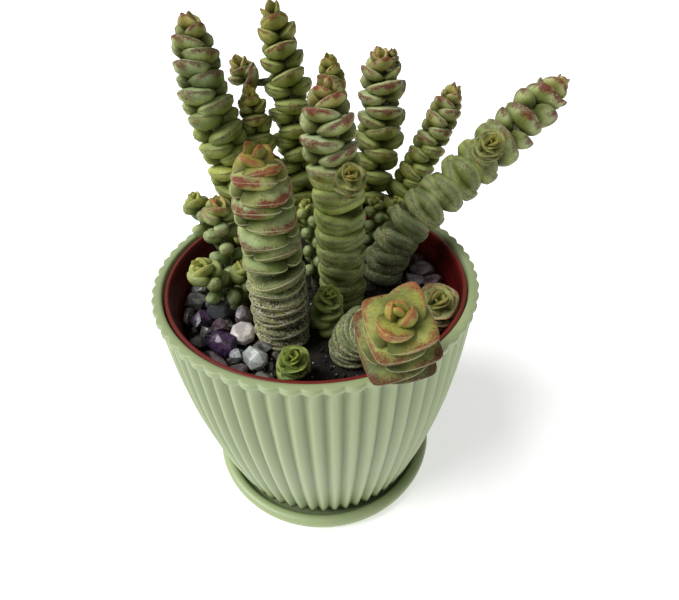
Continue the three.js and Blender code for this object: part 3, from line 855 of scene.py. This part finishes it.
# colours from the tip down: pair, leaf, bloom, red, how red, cork, pale margin, width of the red band
tones = {
    "frosted": [
        (0, (156, 142, 86), 0.2, (116, 46, 36), 0.9, 0, 0.2, 0.4),
        (2, (136, 142, 86), 0.5, (100, 42, 34), 0.95, 0, 0.2, 0.6),
        (5, (122, 138, 88), 0.5, (92, 46, 36), 0.85, 0, 0.15, 0.4),
        (8, (136, 150, 76), 0.25, (92, 52, 36), 0.5, 0, 0.1, 0.1),
        # the lower pairs: partly the older leaves' own colour, partly painted light that offsets the shade of
        # the pairs above
        (12, (156, 168, 76), 0.15, (88, 56, 36), 0.4, 0, 0.05, 0.05),
        (26, (148, 160, 68), 0.08, (80, 60, 36), 0.3, 0.05, 0.05, 0)],
    "green": [
        (0, (146, 142, 74), 0, (122, 54, 42), 0.85, 0, 0.2, 0.3),
        (3, (148, 156, 78), 0.25, (104, 46, 34), 0.9, 0, 0.1, 0.35),
        # the lower pairs: partly the older leaves' own colour, partly painted light that offsets the shade of
        # the pairs above
        (6, (156, 168, 80), 0.25, (92, 52, 36), 0.6, 0, 0.05, 0.12),
        (24, (154, 166, 72), 0.08, (80, 62, 38), 0.3, 0.05, 0.05, 0)],
    "pale": [
        (0, (172, 156, 98), 0.2, (128, 48, 40), 0.9, 0, 0.3, 0.5),
        (2, (160, 160, 104), 0.55, (112, 42, 36), 0.95, 0, 0.3, 0.6),
        (5, (162, 166, 104), 0.6, (108, 46, 34), 0.9, 0, 0.2, 0.5),
        (7, (158, 166, 88), 0.3, (100, 54, 36), 0.7, 0, 0.1, 0.3),
        (12, (150, 162, 76), 0.2, (92, 56, 38), 0.5, 0, 0.05, 0.1)],
    "rosy": [
        (0, (160, 140, 86), 0.2, (128, 48, 40), 0.9, 0, 0.3, 0.6),
        (2, (144, 148, 96), 0.6, (112, 42, 36), 0.95, 0, 0.3, 0.6),
        (5, (142, 152, 98), 0.65, (102, 42, 36), 0.9, 0, 0.2, 0.5),
        (7, (134, 144, 72), 0.2, (98, 58, 40), 0.4, 0.1, 0.15, 0.2),
        # the lower pairs: partly the older leaves' own colour, partly painted light that offsets the shade of
        # the pairs above
        (9, (144, 158, 80), 0.2, (92, 58, 38), 0.35, 0.4, 0.05, 0.1),
        (14, (132, 146, 72), 0.2, (80, 56, 38), 0.3, 0.6, 0.05, 0.1)],
    "leaning": [
        (0, (180, 164, 104), 0.5, (120, 50, 38), 0.95, 0, 0.3, 0.8),
        (3, (168, 174, 118), 0.95, (104, 40, 30), 1, 0, 0.25, 1.1),
        (7, (146, 156, 96), 0.7, (94, 48, 34), 0.9, 0.05, 0.15, 0.9),
        (10, (110, 120, 62), 0.15, (84, 58, 40), 0.35, 0.35, 0.05, 0.2),
        (16, (106, 116, 68), 0.2, (76, 60, 44), 0.3, 0.55, 0.05, 0.1),
        (24, (96, 104, 68), 0.25, (70, 58, 44), 0.25, 0.7, 0.05, 0.1)],
    "orange": [
        (0, (152, 140, 68), 0.05, (150, 72, 48), 0.85, 0, 0.3, 0.8),
        (1, (146, 144, 76), 0.15, (132, 58, 42), 0.95, 0, 0.5, 1),
        (3, (144, 152, 90), 0.4, (110, 46, 34), 0.95, 0, 0.6, 1.3),
        (6, (130, 146, 78), 0.4, (100, 50, 38), 0.85, 0.2, 0.7, 0.9),
        (8, (122, 140, 74), 0.25, (92, 58, 40), 0.6, 0.55, 0.8, 0.6),
        (11, (120, 128, 84), 0.2, (86, 62, 46), 0.4, 0.85, 0.9, 0.3),
        (40, (108, 108, 80), 0.1, (84, 62, 48), 0.3, 1, 0.7, 0.1)],
    "head": [
        (-1, (164, 160, 92), 0, (176, 104, 70), 0.8, 0, 0.3, 0.8),
        (0, (160, 158, 92), 0, (166, 96, 66), 0.8, 0, 0.35, 0.9),
        (1, (154, 156, 94), 0, (150, 80, 60), 0.82, 0, 0.5, 1.4),
        # the lower pairs: partly their own older colour, partly painted shade, darker under the pairs above
        (3, (122, 130, 72), 0.1, (110, 54, 42), 0.88, 0, 0.7, 1.6),
        (6, (90, 98, 54), 0.1, (86, 46, 36), 0.88, 0.05, 0.5, 1.5)],
    "bark": [
        (0, (108, 120, 84), 0.2, (104, 84, 62), 0.2, 0.62, 0.45, 0.1),
        (20, (96, 106, 74), 0.1, (96, 78, 58), 0.2, 0.8, 0.45, 0.1)],
    "fresh": [
        (0, (166, 172, 98), 0.05, (160, 112, 66), 0.3, 0, 0.3, 0.2),
        (1, (160, 170, 96), 0.15, (146, 100, 62), 0.3, 0, 0.3, 0.2),
        (3, (132, 150, 84), 0.45, (120, 90, 62), 0.2, 0.05, 0.1, 0.2),
        (9, (120, 138, 80), 0.5, (100, 84, 60), 0.1, 0.15, 0.1, 0.1)],
    "bright": [
        (0, (168, 184, 96), 0.05, (150, 120, 60), 0.25, 0, 0.4, 0.2),
        (3, (158, 180, 98), 0.25, (140, 110, 60), 0.2, 0, 0.3, 0.2),
        (8, (150, 162, 84), 0.3, (110, 90, 60), 0.2, 0.1, 0.1, 0.1)],
    "warm": [
        (0, (164, 156, 90), 0.1, (168, 92, 74), 0.75, 0, 0.3, 0.5),
        (1, (152, 158, 92), 0.3, (144, 74, 58), 0.7, 0, 0.3, 0.5),
        (3, (132, 150, 86), 0.5, (124, 66, 50), 0.4, 0.05, 0.2, 0.3),
        (9, (118, 136, 78), 0.4, (100, 76, 56), 0.15, 0.15, 0.1, 0.1)],
    "deep": [
        (0, (150, 168, 76), 0, (150, 140, 60), 0.4, 0, 0.4, 0.3),
        (2, (130, 152, 64), 0.1, (110, 110, 50), 0.3, 0, 0.4, 0.2),
        (8, (106, 130, 54), 0.15, (100, 100, 50), 0.2, 0.1, 0.2, 0.1)],
    "olive": [
        (0, (154, 148, 74), 0, (146, 84, 56), 0.5, 0, 0.5, 0.4),
        (2, (128, 136, 74), 0.15, (134, 72, 56), 0.7, 0.15, 0.6, 0.5),
        (6, (120, 132, 70), 0.2, (118, 70, 54), 0.5, 0.3, 0.5, 0.4)],
    "pink": [
        (0, (168, 168, 90), 0.1, (160, 100, 80), 0.5, 0, 0.6, 0.4),
        (3, (156, 152, 98), 0.3, (150, 84, 72), 0.8, 0.1, 0.8, 0.8),
        (7, (130, 130, 84), 0.3, (136, 80, 68), 0.8, 0.3, 0.7, 0.8)],
}

# where two values stand together, the first is for young pairs at the tip, the second for old ones
stemDefaults = {
    "young": "lens", "old": "plump", "oldFrom": 6, "tones": "green", "levels": 0, "bare": 3,
    "pitch": (4.3, 4.4), "reach": (7, 8), "youngPairs": 8, "breadth": 1, "thick": (1.0, 1.05),
    "tilt": (16, 12), "stalk": 2.4, "spin": 45, "twist": 0, "slant": 7, "wobble": 0.08, "alternate": 90,
    "gather": 0, "head": 0, "stalkTo": 0.97, "tip": youngTip,
}

rosetteShoot = {"young": "rosette", "levels": 1, "tip": rosetteTip}
beanShoot = {"young": "bean", "tip": beanTip}

# side shoots follow the stem that they grow on; lengths in millimetres, angles in degrees
stems = {
    "stem_left_tall": [{
        "path": [(-23, 21, 91), (-25.5, 22, 112), (-30.5, 22, 144), (-34.5, 23, 165), (-35.2, 25, 184)],
        "reach": (7.4, 8.8), "pitch": (4.1, 4.3), "bare": 13, "spin": 55, "tones": "frosted",
        "wobble": 0.1,
    }],
    "stem_back_tall": [{
        "path": [(-2, 32, 91), (-2, 33, 108), (-5, 35, 138), (-7, 37, 161), (-10.6, 39, 185)],
        "reach": (7.4, 9.2), "breadth": 0.88, "pitch": (4.5, 4.5), "bare": 14, "spin": 12,
        "thick": (0.86, 0.95), "wobble": 0.1, "tip": slimTip,
    }, {
        "path": [(-8, 38, 163), (-16, 37.5, 162), (-21.5, 37.5, 163), (-24, 37, 170)],
        "reach": (6.2, 6.8), "pitch": (3.4, 4.4), "bare": 11.5, "stalk": 1.4, "spin": 5, "tones": "pale",
        "tip": openTip,
    }],
    "stem_left_back_slim": [{
        "path": [(-16.5, 31, 91), (-17, 31, 117), (-19, 29, 145), (-20.3, 27, 162.5)],
        "reach": (6, 6.8), "breadth": 0.86, "pitch": (4, 4.1), "bare": 18, "stalk": 1.8, "spin": 10,
        "thick": (0.9, 1.05),
    }],
    "stem_back_hidden": [{
        "path": [(5, 15, 91), (7, 16, 130), (8, 15, 158), (7, 14, 174)],
        "reach": (5.2, 5.4), "pitch": (3.8, 4.4), "bare": 46, "stalk": 2, "spin": 50,
    }],
    "stem_centre": [{
        "path": [(10, -5, 91), (9, -6, 112), (8, -7, 140), (5.5, -8.5, 157), (5.1, -9, 172.5)],
        "reach": (8, 9.2), "youngPairs": 6, "bare": 4, "spin": 40, "twist": 2, "stalk": 4.2, "levels": 1,
        "tones": "rosy", "pitch": (4.6, 3.7), "old": "drum", "oldFrom": 7, "thick": (0.95, 1.38),
        "gather": 1.2, "wobble": 0.11,
    }, {
        "path": [(9, -8, 140), (10.8, -15.5, 147.5), (11.4, -21, 152)],
        **rosetteShoot, "reach": (5.4, 5.6), "pitch": (3.2, 4.4), "bare": 5, "spin": 15, "tones": "olive",
    }],
    "stem_right_tall": [{
        "path": [(15, 38, 91), (20, 38.5, 108), (26, 39, 130), (28, 38, 152), (26, 38, 171)],
        "reach": (8.6, 10.2), "breadth": 0.86, "pitch": (4.4, 4.6), "youngPairs": 6, "bare": 18,
        "spin": 12, "tones": "pale", "oldFrom": 8, "thick": (0.9, 1.05),
    }, {
        "path": [(27.5, 38, 161), (30.5, 38, 166), (31, 38, 171)],
        "reach": (3.8, 3.8), "pitch": (2.6, 4.4), "stalk": 1.4, "spin": 30, "tones": "frosted",
    }],
    "stem_right_slim": [{
        "path": [(29, 34, 91), (32, 33.5, 105), (39, 33, 122), (47, 33, 139), (53.7, 33, 159.5)],
        "reach": (6.4, 6.8), "pitch": (3.7, 3.8), "bare": 12, "stalk": 1.9, "spin": 30, "tones": "pale",
    }],
    "stem_right_leaning": [{
        "path": [(27, 9, 91), (29, 9.5, 103), (36, 10.5, 116.5), (50, 12, 130),
                 (66, 15, 144.5), (87, 20, 164)],
        "reach": (7.6, 9.4), "bare": 4, "stalk": 4.2, "spin": 40, "twist": 2, "levels": 1,
        "tones": "leaning", "pitch": (4.5, 4.1), "old": "drum", "oldFrom": 9, "thick": (0.98, 1.34),
        "gather": 1.2, "wobble": 0.12, "tip": rosetteTip,
    }, {
        "path": [(62, 13, 142), (59.5, 5, 148), (58.4, 0, 152)],
        **rosetteShoot, "reach": (5.6, 5.8), "pitch": (3, 4.4), "bare": 5, "stalk": 2.2, "spin": 20,
        "tones": "olive",
    }],
    "stem_front_thick": [{
        "path": [(-13, -22, 91), (-13, -23, 122), (-13.6, -25, 146), (-14, -26, 161)],
        "reach": (9.6, 10.6), "youngPairs": 5, "stalk": 5, "young": "clasp", "tones": "orange",
        "old": "ring", "oldFrom": 9, "pitch": (4.7, 2.7), "levels": 1, "tilt": (2, 4),
        "thick": (1.15, 1.25), "tip": openTip,
    }],
    "stem_front_rosette": [{
        "path": [(9.5, -32.5, 91), (11, -34.5, 101), (14.5, -40, 110), (19, -47, 114.5),
                 (21.5, -53, 117)],
        "reach": (7.6, 8.2), "pitch": (2.6, 2.6), "bare": 2, "youngPairs": 1, "stalk": 4.4, "spin": 20,
        "tones": "bark", "young": "ring", "old": "ring", "oldFrom": 0, "thick": (1.25, 1.25), "levels": 1,
    }, {
        "path": [(20.5, -51.5, 110.8), (20, -55.2, 119), (19.1, -60.5, 132.9), (18.6, -62.4, 138)],
        # how far below the tip, reach, tilt, thickness, shape
        "pairs": [
            (3.6, 2, 78, 2, "bud"), (5.8, 4.3, 62, 3.8, "inner"), (6.8, 9, 33, 4.4, "inner"),
            (9.4, 10.9, 15, 4.8, "plate"), (12.9, 11.8, 8, 5, "plate"), (16.5, 12.9, 2, 5, "plate"),
            (20, 13.7, -5, 5, "plate"), (23.6, 13.5, -9, 4.8, "plate"),
        ],
        "stalk": 4.4, "stalkTo": 0.78, "spin": -36.7, "levels": 1, "tones": "head", "wobble": 0.02,
        "slant": 3,
    }],
    "shoot_front": [{
        "path": [(-9, -41, 91), (-9, -42.5, 98), (-8, -47, 108)],
        **rosetteShoot, "reach": (5.8, 6), "pitch": (3.6, 4.4), "stalk": 2.2, "spin": 40, "tones": "deep",
    }],
    "shoot_middle": [{
        "path": [(2, -19, 91), (3, -20, 103), (4.3, -22, 112)],
        **rosetteShoot, "reach": (6, 6.4), "pitch": (3.8, 4.4), "spin": 35, "tones": "bright",
    }],
    "shoot_right_low": [{
        "path": [(41, -17, 91), (41.5, -20, 100), (40.3, -27, 110)],
        **rosetteShoot, "reach": (8.2, 8.6), "pitch": (3.7, 4.4), "spin": 20, "tones": "pink",
    }],
    "shoot_left_low": [{
        "path": [(-29, -5, 91), (-30.5, -5.5, 98), (-37, -7.5, 105), (-41, -9, 116)],
        **beanShoot, "reach": (6, 7), "pitch": (4.8, 4.4), "bare": 4, "stalk": 2, "alternate": 70,
        "tones": "fresh", "levels": 1, "old": "bean", "tilt": (8, 12), "youngPairs": 3, "wobble": 0.14,
        "head": 3,
    }, {
        "path": [(-30, -4.5, 93), (-28, -2.5, 99), (-27, -1.5, 110)],
        **beanShoot, "reach": (5.6, 6.2), "pitch": (4.6, 4.4), "stalk": 1.8, "spin": 25, "tones": "fresh",
        "levels": 1, "tilt": (10, 12), "head": 3,
    }],
    "shoot_left_upper": [{
        "path": [(-33, 6, 91), (-33.5, 6.5, 104), (-34, 7.5, 119), (-34.2, 8, 131)],
        **beanShoot, "reach": (6.2, 7.2), "pitch": (4.8, 4.4), "stalk": 2, "spin": 30, "alternate": 70,
        "tones": "warm", "levels": 1, "old": "bean", "tilt": (8, 12), "youngPairs": 3, "wobble": 0.12,
        "head": 3,
    }, {
        "path": [(-34, 7, 108), (-39, 10, 116), (-42, 12, 122), (-43, 13, 131)],
        **beanShoot, "reach": (5, 5.8), "pitch": (4.4, 4.4), "bare": 6, "stalk": 1.6, "spin": 30,
        "tones": "fresh", "tilt": (10, 12), "head": 2,
    }],
    "shoot_back_middle": [{
        "path": [(22, 24, 91), (25, 24, 108), (24.5, 23, 121)],
        **beanShoot, "reach": (4.6, 5.2), "pitch": (4, 4.4), "bare": 4, "stalk": 1.6, "spin": 30,
        "tones": "fresh", "old": "bean",
    }],
    "shoot_back_right": [{
        "path": [(33, 24, 91), (34, 24, 108), (34, 23.5, 120)],
        **beanShoot, "reach": (4.6, 5), "pitch": (4, 4.4), "bare": 4, "stalk": 1.6, "spin": 40,
        "tones": "fresh", "old": "bean",
    }],
    "shoot_between": [{
        "path": [(-1, 8, 91), (-1, 9, 112), (-3, 10, 128)],
        **beanShoot, "reach": (4.2, 4.6), "pitch": (4.2, 4.4), "bare": 4, "stalk": 1.5, "spin": 35,
        "tones": "fresh", "old": "bean",
    }],
}


def eased(value):
    value = min(max(value, 0), 1)
    return value * value * (3 - 2 * value)


def toneAt(stops, k):
    # leaf colour and bloom, red and its amount, cork and margin, between the two nearest stops
    k = min(max(k, stops[0][0]), stops[-1][0])
    for (fromPair, *first), (toPair, *second) in zip(stops, stops[1:]):
        if k <= toPair:
            share = (k - fromPair) / (toPair - fromPair)
            break
    mixed = []
    for a, b in zip(first, second):
        if isinstance(a, tuple):
            mixed.append([p + (q - p) * share for p, q in zip(linear(*a)[:3], linear(*b)[:3])])
        else:
            mixed.append(a + (b - a) * share)
    leaf, bloom, red, redness, cork, margin, band = mixed
    leaf = [c * share for c, share in zip(leaf, leafDeep)]
    red = [c * share for c, share in zip(red, redDeep)]
    return {"leafHue": [*leaf, bloom], "leafRed": [*red, redness], "leafWear": [cork, margin, band]}


def coloured(obj, tone, tint):
    count = len(obj.data.vertices)
    for name, values in tone.items():
        if name == "leafWear":
            values = [*values, tint]
        attribute = obj.data.attributes.new(name, "FLOAT_COLOR", "POINT")
        attribute.data.foreach_set("color", values * count)


bud = {"reach": 0.42, "tilt": 68, "step": 0.02}
tipGap = 0.02
leastThick = {"head": 0.55, "leaf": 0.36}


def pairPlan(stem, length):
    # the pairs of leaves from the tip down, after a small bud at the tip; the level is where their tips lie
    plan = []
    if "pairs" in stem:
        for k, (below, reach, tilt, thick, shapeName) in enumerate(stem["pairs"], -1):
            plan.append({"k": k, "distance": length - below, "reach": reach, "tilt": tilt, "thick": thick,
                         "shape": shapeName})
        return plan
    tip = stem["tip"]
    level = tipGap * stem["reach"][1]

    def between(name, share):
        first, last = stem[name]
        return first + (last - first) * share

    k = -1
    while True:
        aged = min(max(k, 0) / stem["youngPairs"], 1)
        late = eased((k - stem["oldFrom"]) / 4 + 0.5)
        pitch, tilt, reach = between("pitch", late), between("tilt", late), between("reach", aged)
        shapeName = stem["old" if k >= stem["oldFrom"] else "young"]
        if k < stem["head"]:
            shapeName = "bud" if k < 0 else "plump"
        step = pitch
        if k < 0:
            reach, tilt, step = reach * bud["reach"], bud["tilt"], bud["step"] * pitch
        elif k < len(tip["length"]) and shapeName in leafShapes:
            reach *= tip["length"][k]
            step *= tip["step"][k]
            tilt = max(tilt, tip["tilt"][k])
        thick = step * between("thick", late)
        if shapeName in collarShapes:
            rise = collarShapes[shapeName]["lift"] * thick
        else:
            thick = max(thick, leastThick["head" if k < stem["head"] else "leaf"] * reach)
            slope = math.radians(tilt)
            bend = thick / leafDepth * leafShapes[shapeName]["rise"]
            rise = reach * math.sin(slope) + bend * math.cos(slope)
        distance = length - level - rise
        if distance < stem["bare"]:
            return plan
        if shapeName in collarShapes:
            distance += stem["gather"] * (0.5 if k % 2 else -0.5)
        plan.append({"k": k, "distance": distance, "reach": reach, "tilt": tilt, "thick": thick,
                     "shape": shapeName})
        level += step
        k += 1


stalkLook = {"rings": 24, "taper": 16, "least": 0.1, "tone": 12, "cork": 0.7, "line": 0.03}


def makeStalk(name, stem, path):
    length = path[1][-1]
    curve = bpy.data.curves.new(name, "CURVE")
    curve.dimensions = "3D"
    curve.bevel_depth = 1
    curve.bevel_resolution = 3
    curve.use_fill_caps = True
    rings = stalkLook["rings"]
    distances = [length * i / rings * stem["stalkTo"] for i in range(rings + 1)]
    spline = curve.splines.new("POLY")
    spline.points.add(rings)
    for point, distance in zip(spline.points, distances):
        point.co = (*(standAt(path, distance)[0] * mm), 1)
        share = stalkLook["least"] + (length - distance) / stalkLook["taper"]
        point.radius = stem["stalk"] * min(1, share) * mm
    pickOnly(linked(name, curve))
    bpy.ops.object.convert(target="MESH")
    obj = bpy.context.object
    marked(obj, [(0, 1)] * len(obj.data.vertices), stalkLook["line"])
    tone = toneAt(tones[stem["tones"]], stalkLook["tone"])
    tone["leafWear"] = [stalkLook["cork"], 0, 0]
    coloured(obj, tone, 0.5)
    smooth(obj)
    return obj


leafMeshes = {}


def leafFor(shapeName, levels):
    if (shapeName, levels) not in leafMeshes:
        name = f"{shapeName}{levels}"
        leafMeshes[shapeName, levels] = (
            makeCollar(name, collarShapes[shapeName], levels) if shapeName in collarShapes
            else makeLeaf(name, leafShapes[shapeName], levels))
    return leafMeshes[shapeName, levels]


def placedLeaf(shapeName, levels, centre, along, across, up, tone, tint):
    leaf = copyOf(leafFor(shapeName, levels))
    coloured(leaf, tone, tint)
    leaf.matrix_world = Matrix.Translation(centre * mm) @ Matrix((along, across, up)).transposed().to_4x4()
    return leaf


unlike = {"tilt": 3, "reach": 0.04}  # how far one leaf may differ from the next


def makeStem(name, parts, seed):
    draw = random.Random(seed)
    pieces = []
    for part in parts:
        stem = {**stemDefaults, **part}
        path = walkPath(stem["path"])
        pieces.append(makeStalk(name + "Stalk", stem, path))
        for pair in pairPlan(stem, path[1][-1]):
            centre, ahead, right, front = standAt(path, pair["distance"])
            # each pair leans a little its own way
            lean = right * draw.gauss(0, 1) + front * draw.gauss(0, 1)
            ahead = (ahead + lean * stem["wobble"]).normalized()
            right = (right - ahead * right.dot(ahead)).normalized()
            front = ahead.cross(right)
            turn = math.radians(stem["spin"] + stem["twist"] * pair["k"] + stem["alternate"] * (pair["k"] % 2)
                                + draw.uniform(-1, 1) * stem["slant"])
            tone = toneAt(tones[stem["tones"]], pair["k"])
            outward = right * math.cos(turn) + front * math.sin(turn)
            if pair["shape"] in collarShapes:
                across = ahead.cross(outward)
                pieces.append(placedLeaf(
                    pair["shape"], stem["levels"], centre, outward * pair["reach"] * mm,
                    across * pair["reach"] * mm, ahead * pair["thick"] * mm, tone, draw.random()))
                continue
            for side in (1, -1):
                tilt = math.radians(pair["tilt"] + draw.uniform(-unlike["tilt"], unlike["tilt"]))
                size = draw.uniform(1 - unlike["reach"], 1 + unlike["reach"])
                reach = pair["reach"] * size / math.cos(tilt) ** 0.5 * mm
                along = outward * side * math.cos(tilt) + ahead * math.sin(tilt)
                up = ahead * math.cos(tilt) - outward * side * math.sin(tilt)
                thick = pair["thick"] / leafDepth * mm
                pieces.append(placedLeaf(
                    pair["shape"], stem["levels"], centre, along * reach,
                    up.cross(along) * reach * stem["breadth"], up * thick, tone, draw.random()))
    return joined(pieces, name.replace("_", " ").title().replace(" ", ""))


# for each layer its strength and its colour; the foot and underside layers are painted shade
leafLayers = {
    "yellow": (0.35, (190, 190, 84)), "deep": (0.4, (48, 66, 22)), "tint": (0.22, (60, 82, 30)),
    "foot": (0.7, (34, 46, 14)), "undersideShade": (0.36, (44, 60, 20)),
}
leafPaint = {"dot": (30, 20, 12), "line": (52, 46, 22), "margin": (206, 204, 160),
             "corkDark": (40, 32, 24), "corkPale": (186, 178, 158), "grain": (170, 1500), "patches": 430,
             "dots": 1100, "specular": 0.2, "scatter": 0.08, "scatterRadius": (0.6, 0.9, 0.3),
             "scatterScale": 0.001, "relief": (0.5, 0.0003)}
leafLooks = {
    "leafGreen": {"bloom": (172, 190, 152), "shine": 0.4},
    "youngGreen": {"bloom": (172, 190, 150), "shine": 0.36},
}


def attributeParts(tree, name):
    node = newNode(tree, "Attribute", {}, attribute_name=name)
    split = newNode(tree, "SeparateColor", {0: node.outputs["Color"]})
    return node.outputs["Color"], node.outputs["Alpha"], split.outputs


def leafSkin(name, look):
    material, tree, shader = newMaterial(name)
    where = objectPlace(tree)
    hue, bloomShare, _ = attributeParts(tree, "leafHue")
    red, redShare, _ = attributeParts(tree, "leafRed")
    _, _, (along, lineWidth, face) = attributeParts(tree, "leafMark")
    _, tint, (cork, margin, bandWidth) = attributeParts(tree, "leafWear")
    paint = leafPaint
    cloud, speck = grain(tree, where, *paint["grain"])
    patches = noise(tree, where, paint["patches"], 2)

    def times(first, second):
        return sums(tree, "MULTIPLY", first, second)

    def plus(first, second):
        return sums(tree, "ADD", first, second)

    def less(first, second):
        return sums(tree, "SUBTRACT", first, second)

    def mask(value, low, high):
        return ramped(tree, value, low, high)

    # over each leaf's own green: yellower and darker patches, a tint of its own for each leaf, and painted
    # shade where it goes in to the stem and on its underside
    masks = {"yellow": mask(cloud, 0.4, 0.75), "deep": mask(cloud, 0.55, 0.3), "tint": tint,
             "foot": mask(along, 0.62, 0.1), "undersideShade": mask(face, 0.68, 1)}
    colour = hue
    for layer, (strength, shade) in leafLayers.items():
        colour = blended(tree, times(masks[layer], strength), colour, linear(*shade))
    # a pale bloom, most of it on the upper face and along the margin
    bloom = times(bloomShare, mask(face, 0.95, 0.5))
    bloom = times(bloom, mask(plus(cloud, along), 0.7, 1.3))
    colour = blended(tree, bloom, colour, linear(*look["bloom"]))
    # red along the margin and at the tip, breaking up into specks
    offMargin = sums(tree, "ABSOLUTE", less(face, 0.5))
    band = sums(tree, "DIVIDE", offMargin, plus(times(bandWidth, 0.17), 0.05))
    band = times(mask(band, 1.5, 0.3), mask(along, 0.25, 0.8))
    atTip = mask(plus(along, times(bandWidth, 0.1)), 0.82, 1.04)
    blush = sums(tree, "MAXIMUM", band, atTip)
    uneven = plus(times(less(patches, 0.5), 1.1),
                  times(less(speck, 0.5), 1.3))
    blush = mask(plus(uneven, blush), 0.12, 1.2)
    colour = blended(tree, times(blush, redShare), colour, red)
    # small dark dots, close together in the red and thin elsewhere
    spots = mask(cells(tree, where, paint["dots"]), 0.3, 0.16)
    spots = times(spots, mask(plus(cloud, blush), 0.3, 0.85))
    colour = blended(tree, times(spots, 0.7), colour, blended(tree, 0.65, red, linear(*paint["dot"])))
    # the thin line along the margin: pale on fresh leaves, brown on the others
    line = mask(sums(tree, "DIVIDE", offMargin, lineWidth), 1, 0.5)
    brownLine = times(line, sums(tree, "SUBTRACT", 0.7, margin, clamp=True))
    colour = blended(tree, brownLine, colour, linear(*paint["line"]))
    # cork: pale and dark grains, thickest on the oldest leaves
    bark = mask(speck, 0.44, 0.58)
    bark = blended(tree, bark, linear(*paint["corkDark"]), linear(*paint["corkPale"]))
    barkMask = mask(plus(times(cork, 0.8), times(cloud, 0.6)), 0.62, 1.05)
    barkMask = times(barkMask, times(cork, mask(patches, 0.3, 0.6)))
    colour = blended(tree, barkMask, colour, bark)
    paleLine = blended(tree, times(redShare, 0.3), linear(*paint["margin"]), red)
    colour = blended(tree, times(line, margin), colour, paleLine)
    roughness = mask(plus(barkMask, speck), -look["shine"], 1.3)
    relief = plus(times(patches, 2.2), plus(speck, times(barkMask, 0.6)))
    dressed(tree, shader, colour, roughness, relief, paint["relief"], {
        "Specular IOR Level": paint["specular"], "Subsurface Weight": paint["scatter"],
        "Subsurface Radius": paint["scatterRadius"], "Subsurface Scale": paint["scatterScale"]})
    return material


say("stems")
leafSkins = {name: leafSkin(name, look) for name, look in leafLooks.items()}
for number, (node, parts) in enumerate(stems.items()):
    isShoot = node.startswith("shoot")
    finished(makeStem(node, parts, 40 + number), "young_leaf" if isShoot else "leaf_green",
             leafSkins["youngGreen" if isShoot else "leafGreen"], node)
for obj in leafMeshes.values():
    bpy.data.objects.remove(obj)


studio = {"room": 0.31, "sun": 3.5, "sunSize": 38, "sunFrom": (-0.75, -0.12, 0.95),
          "floor": (0.8, 0.93), "floorGlow": 0.48}
white = (1, 1, 1, 1)


def makeStudio(look):
    bpy.ops.mesh.primitive_plane_add(size=30)
    floor = added("floor")
    material, tree, shader = newMaterial("paleFloor")
    cloud, _ = grain(tree, objectPlace(tree), 3, 40)
    colour = blended(tree, cloud, *[(grey, grey, grey, 1) for grey in look["floor"]])
    for name, value in {"Base Color": colour, "Roughness": 0.9, "Emission Color": white,
                        "Emission Strength": look["floorGlow"]}.items():
        feed(tree, shader.inputs[name], value)
    floor.data.materials.append(material)
    world = bpy.data.worlds.new("studio")
    world.use_nodes = True
    background = world.node_tree.nodes["Background"]
    background.inputs["Color"].default_value = white
    background.inputs["Strength"].default_value = look["room"]
    scene.world = world
    data = bpy.data.lights.new("softSun", "SUN")
    data.energy = look["sun"]
    data.angle = math.radians(look["sunSize"])
    obj = linked("softSun", data)
    obj.rotation_euler = Vector(look["sunFrom"]).to_track_quat("Z", "Y").to_euler()


say("studio")
makeStudio(studio)
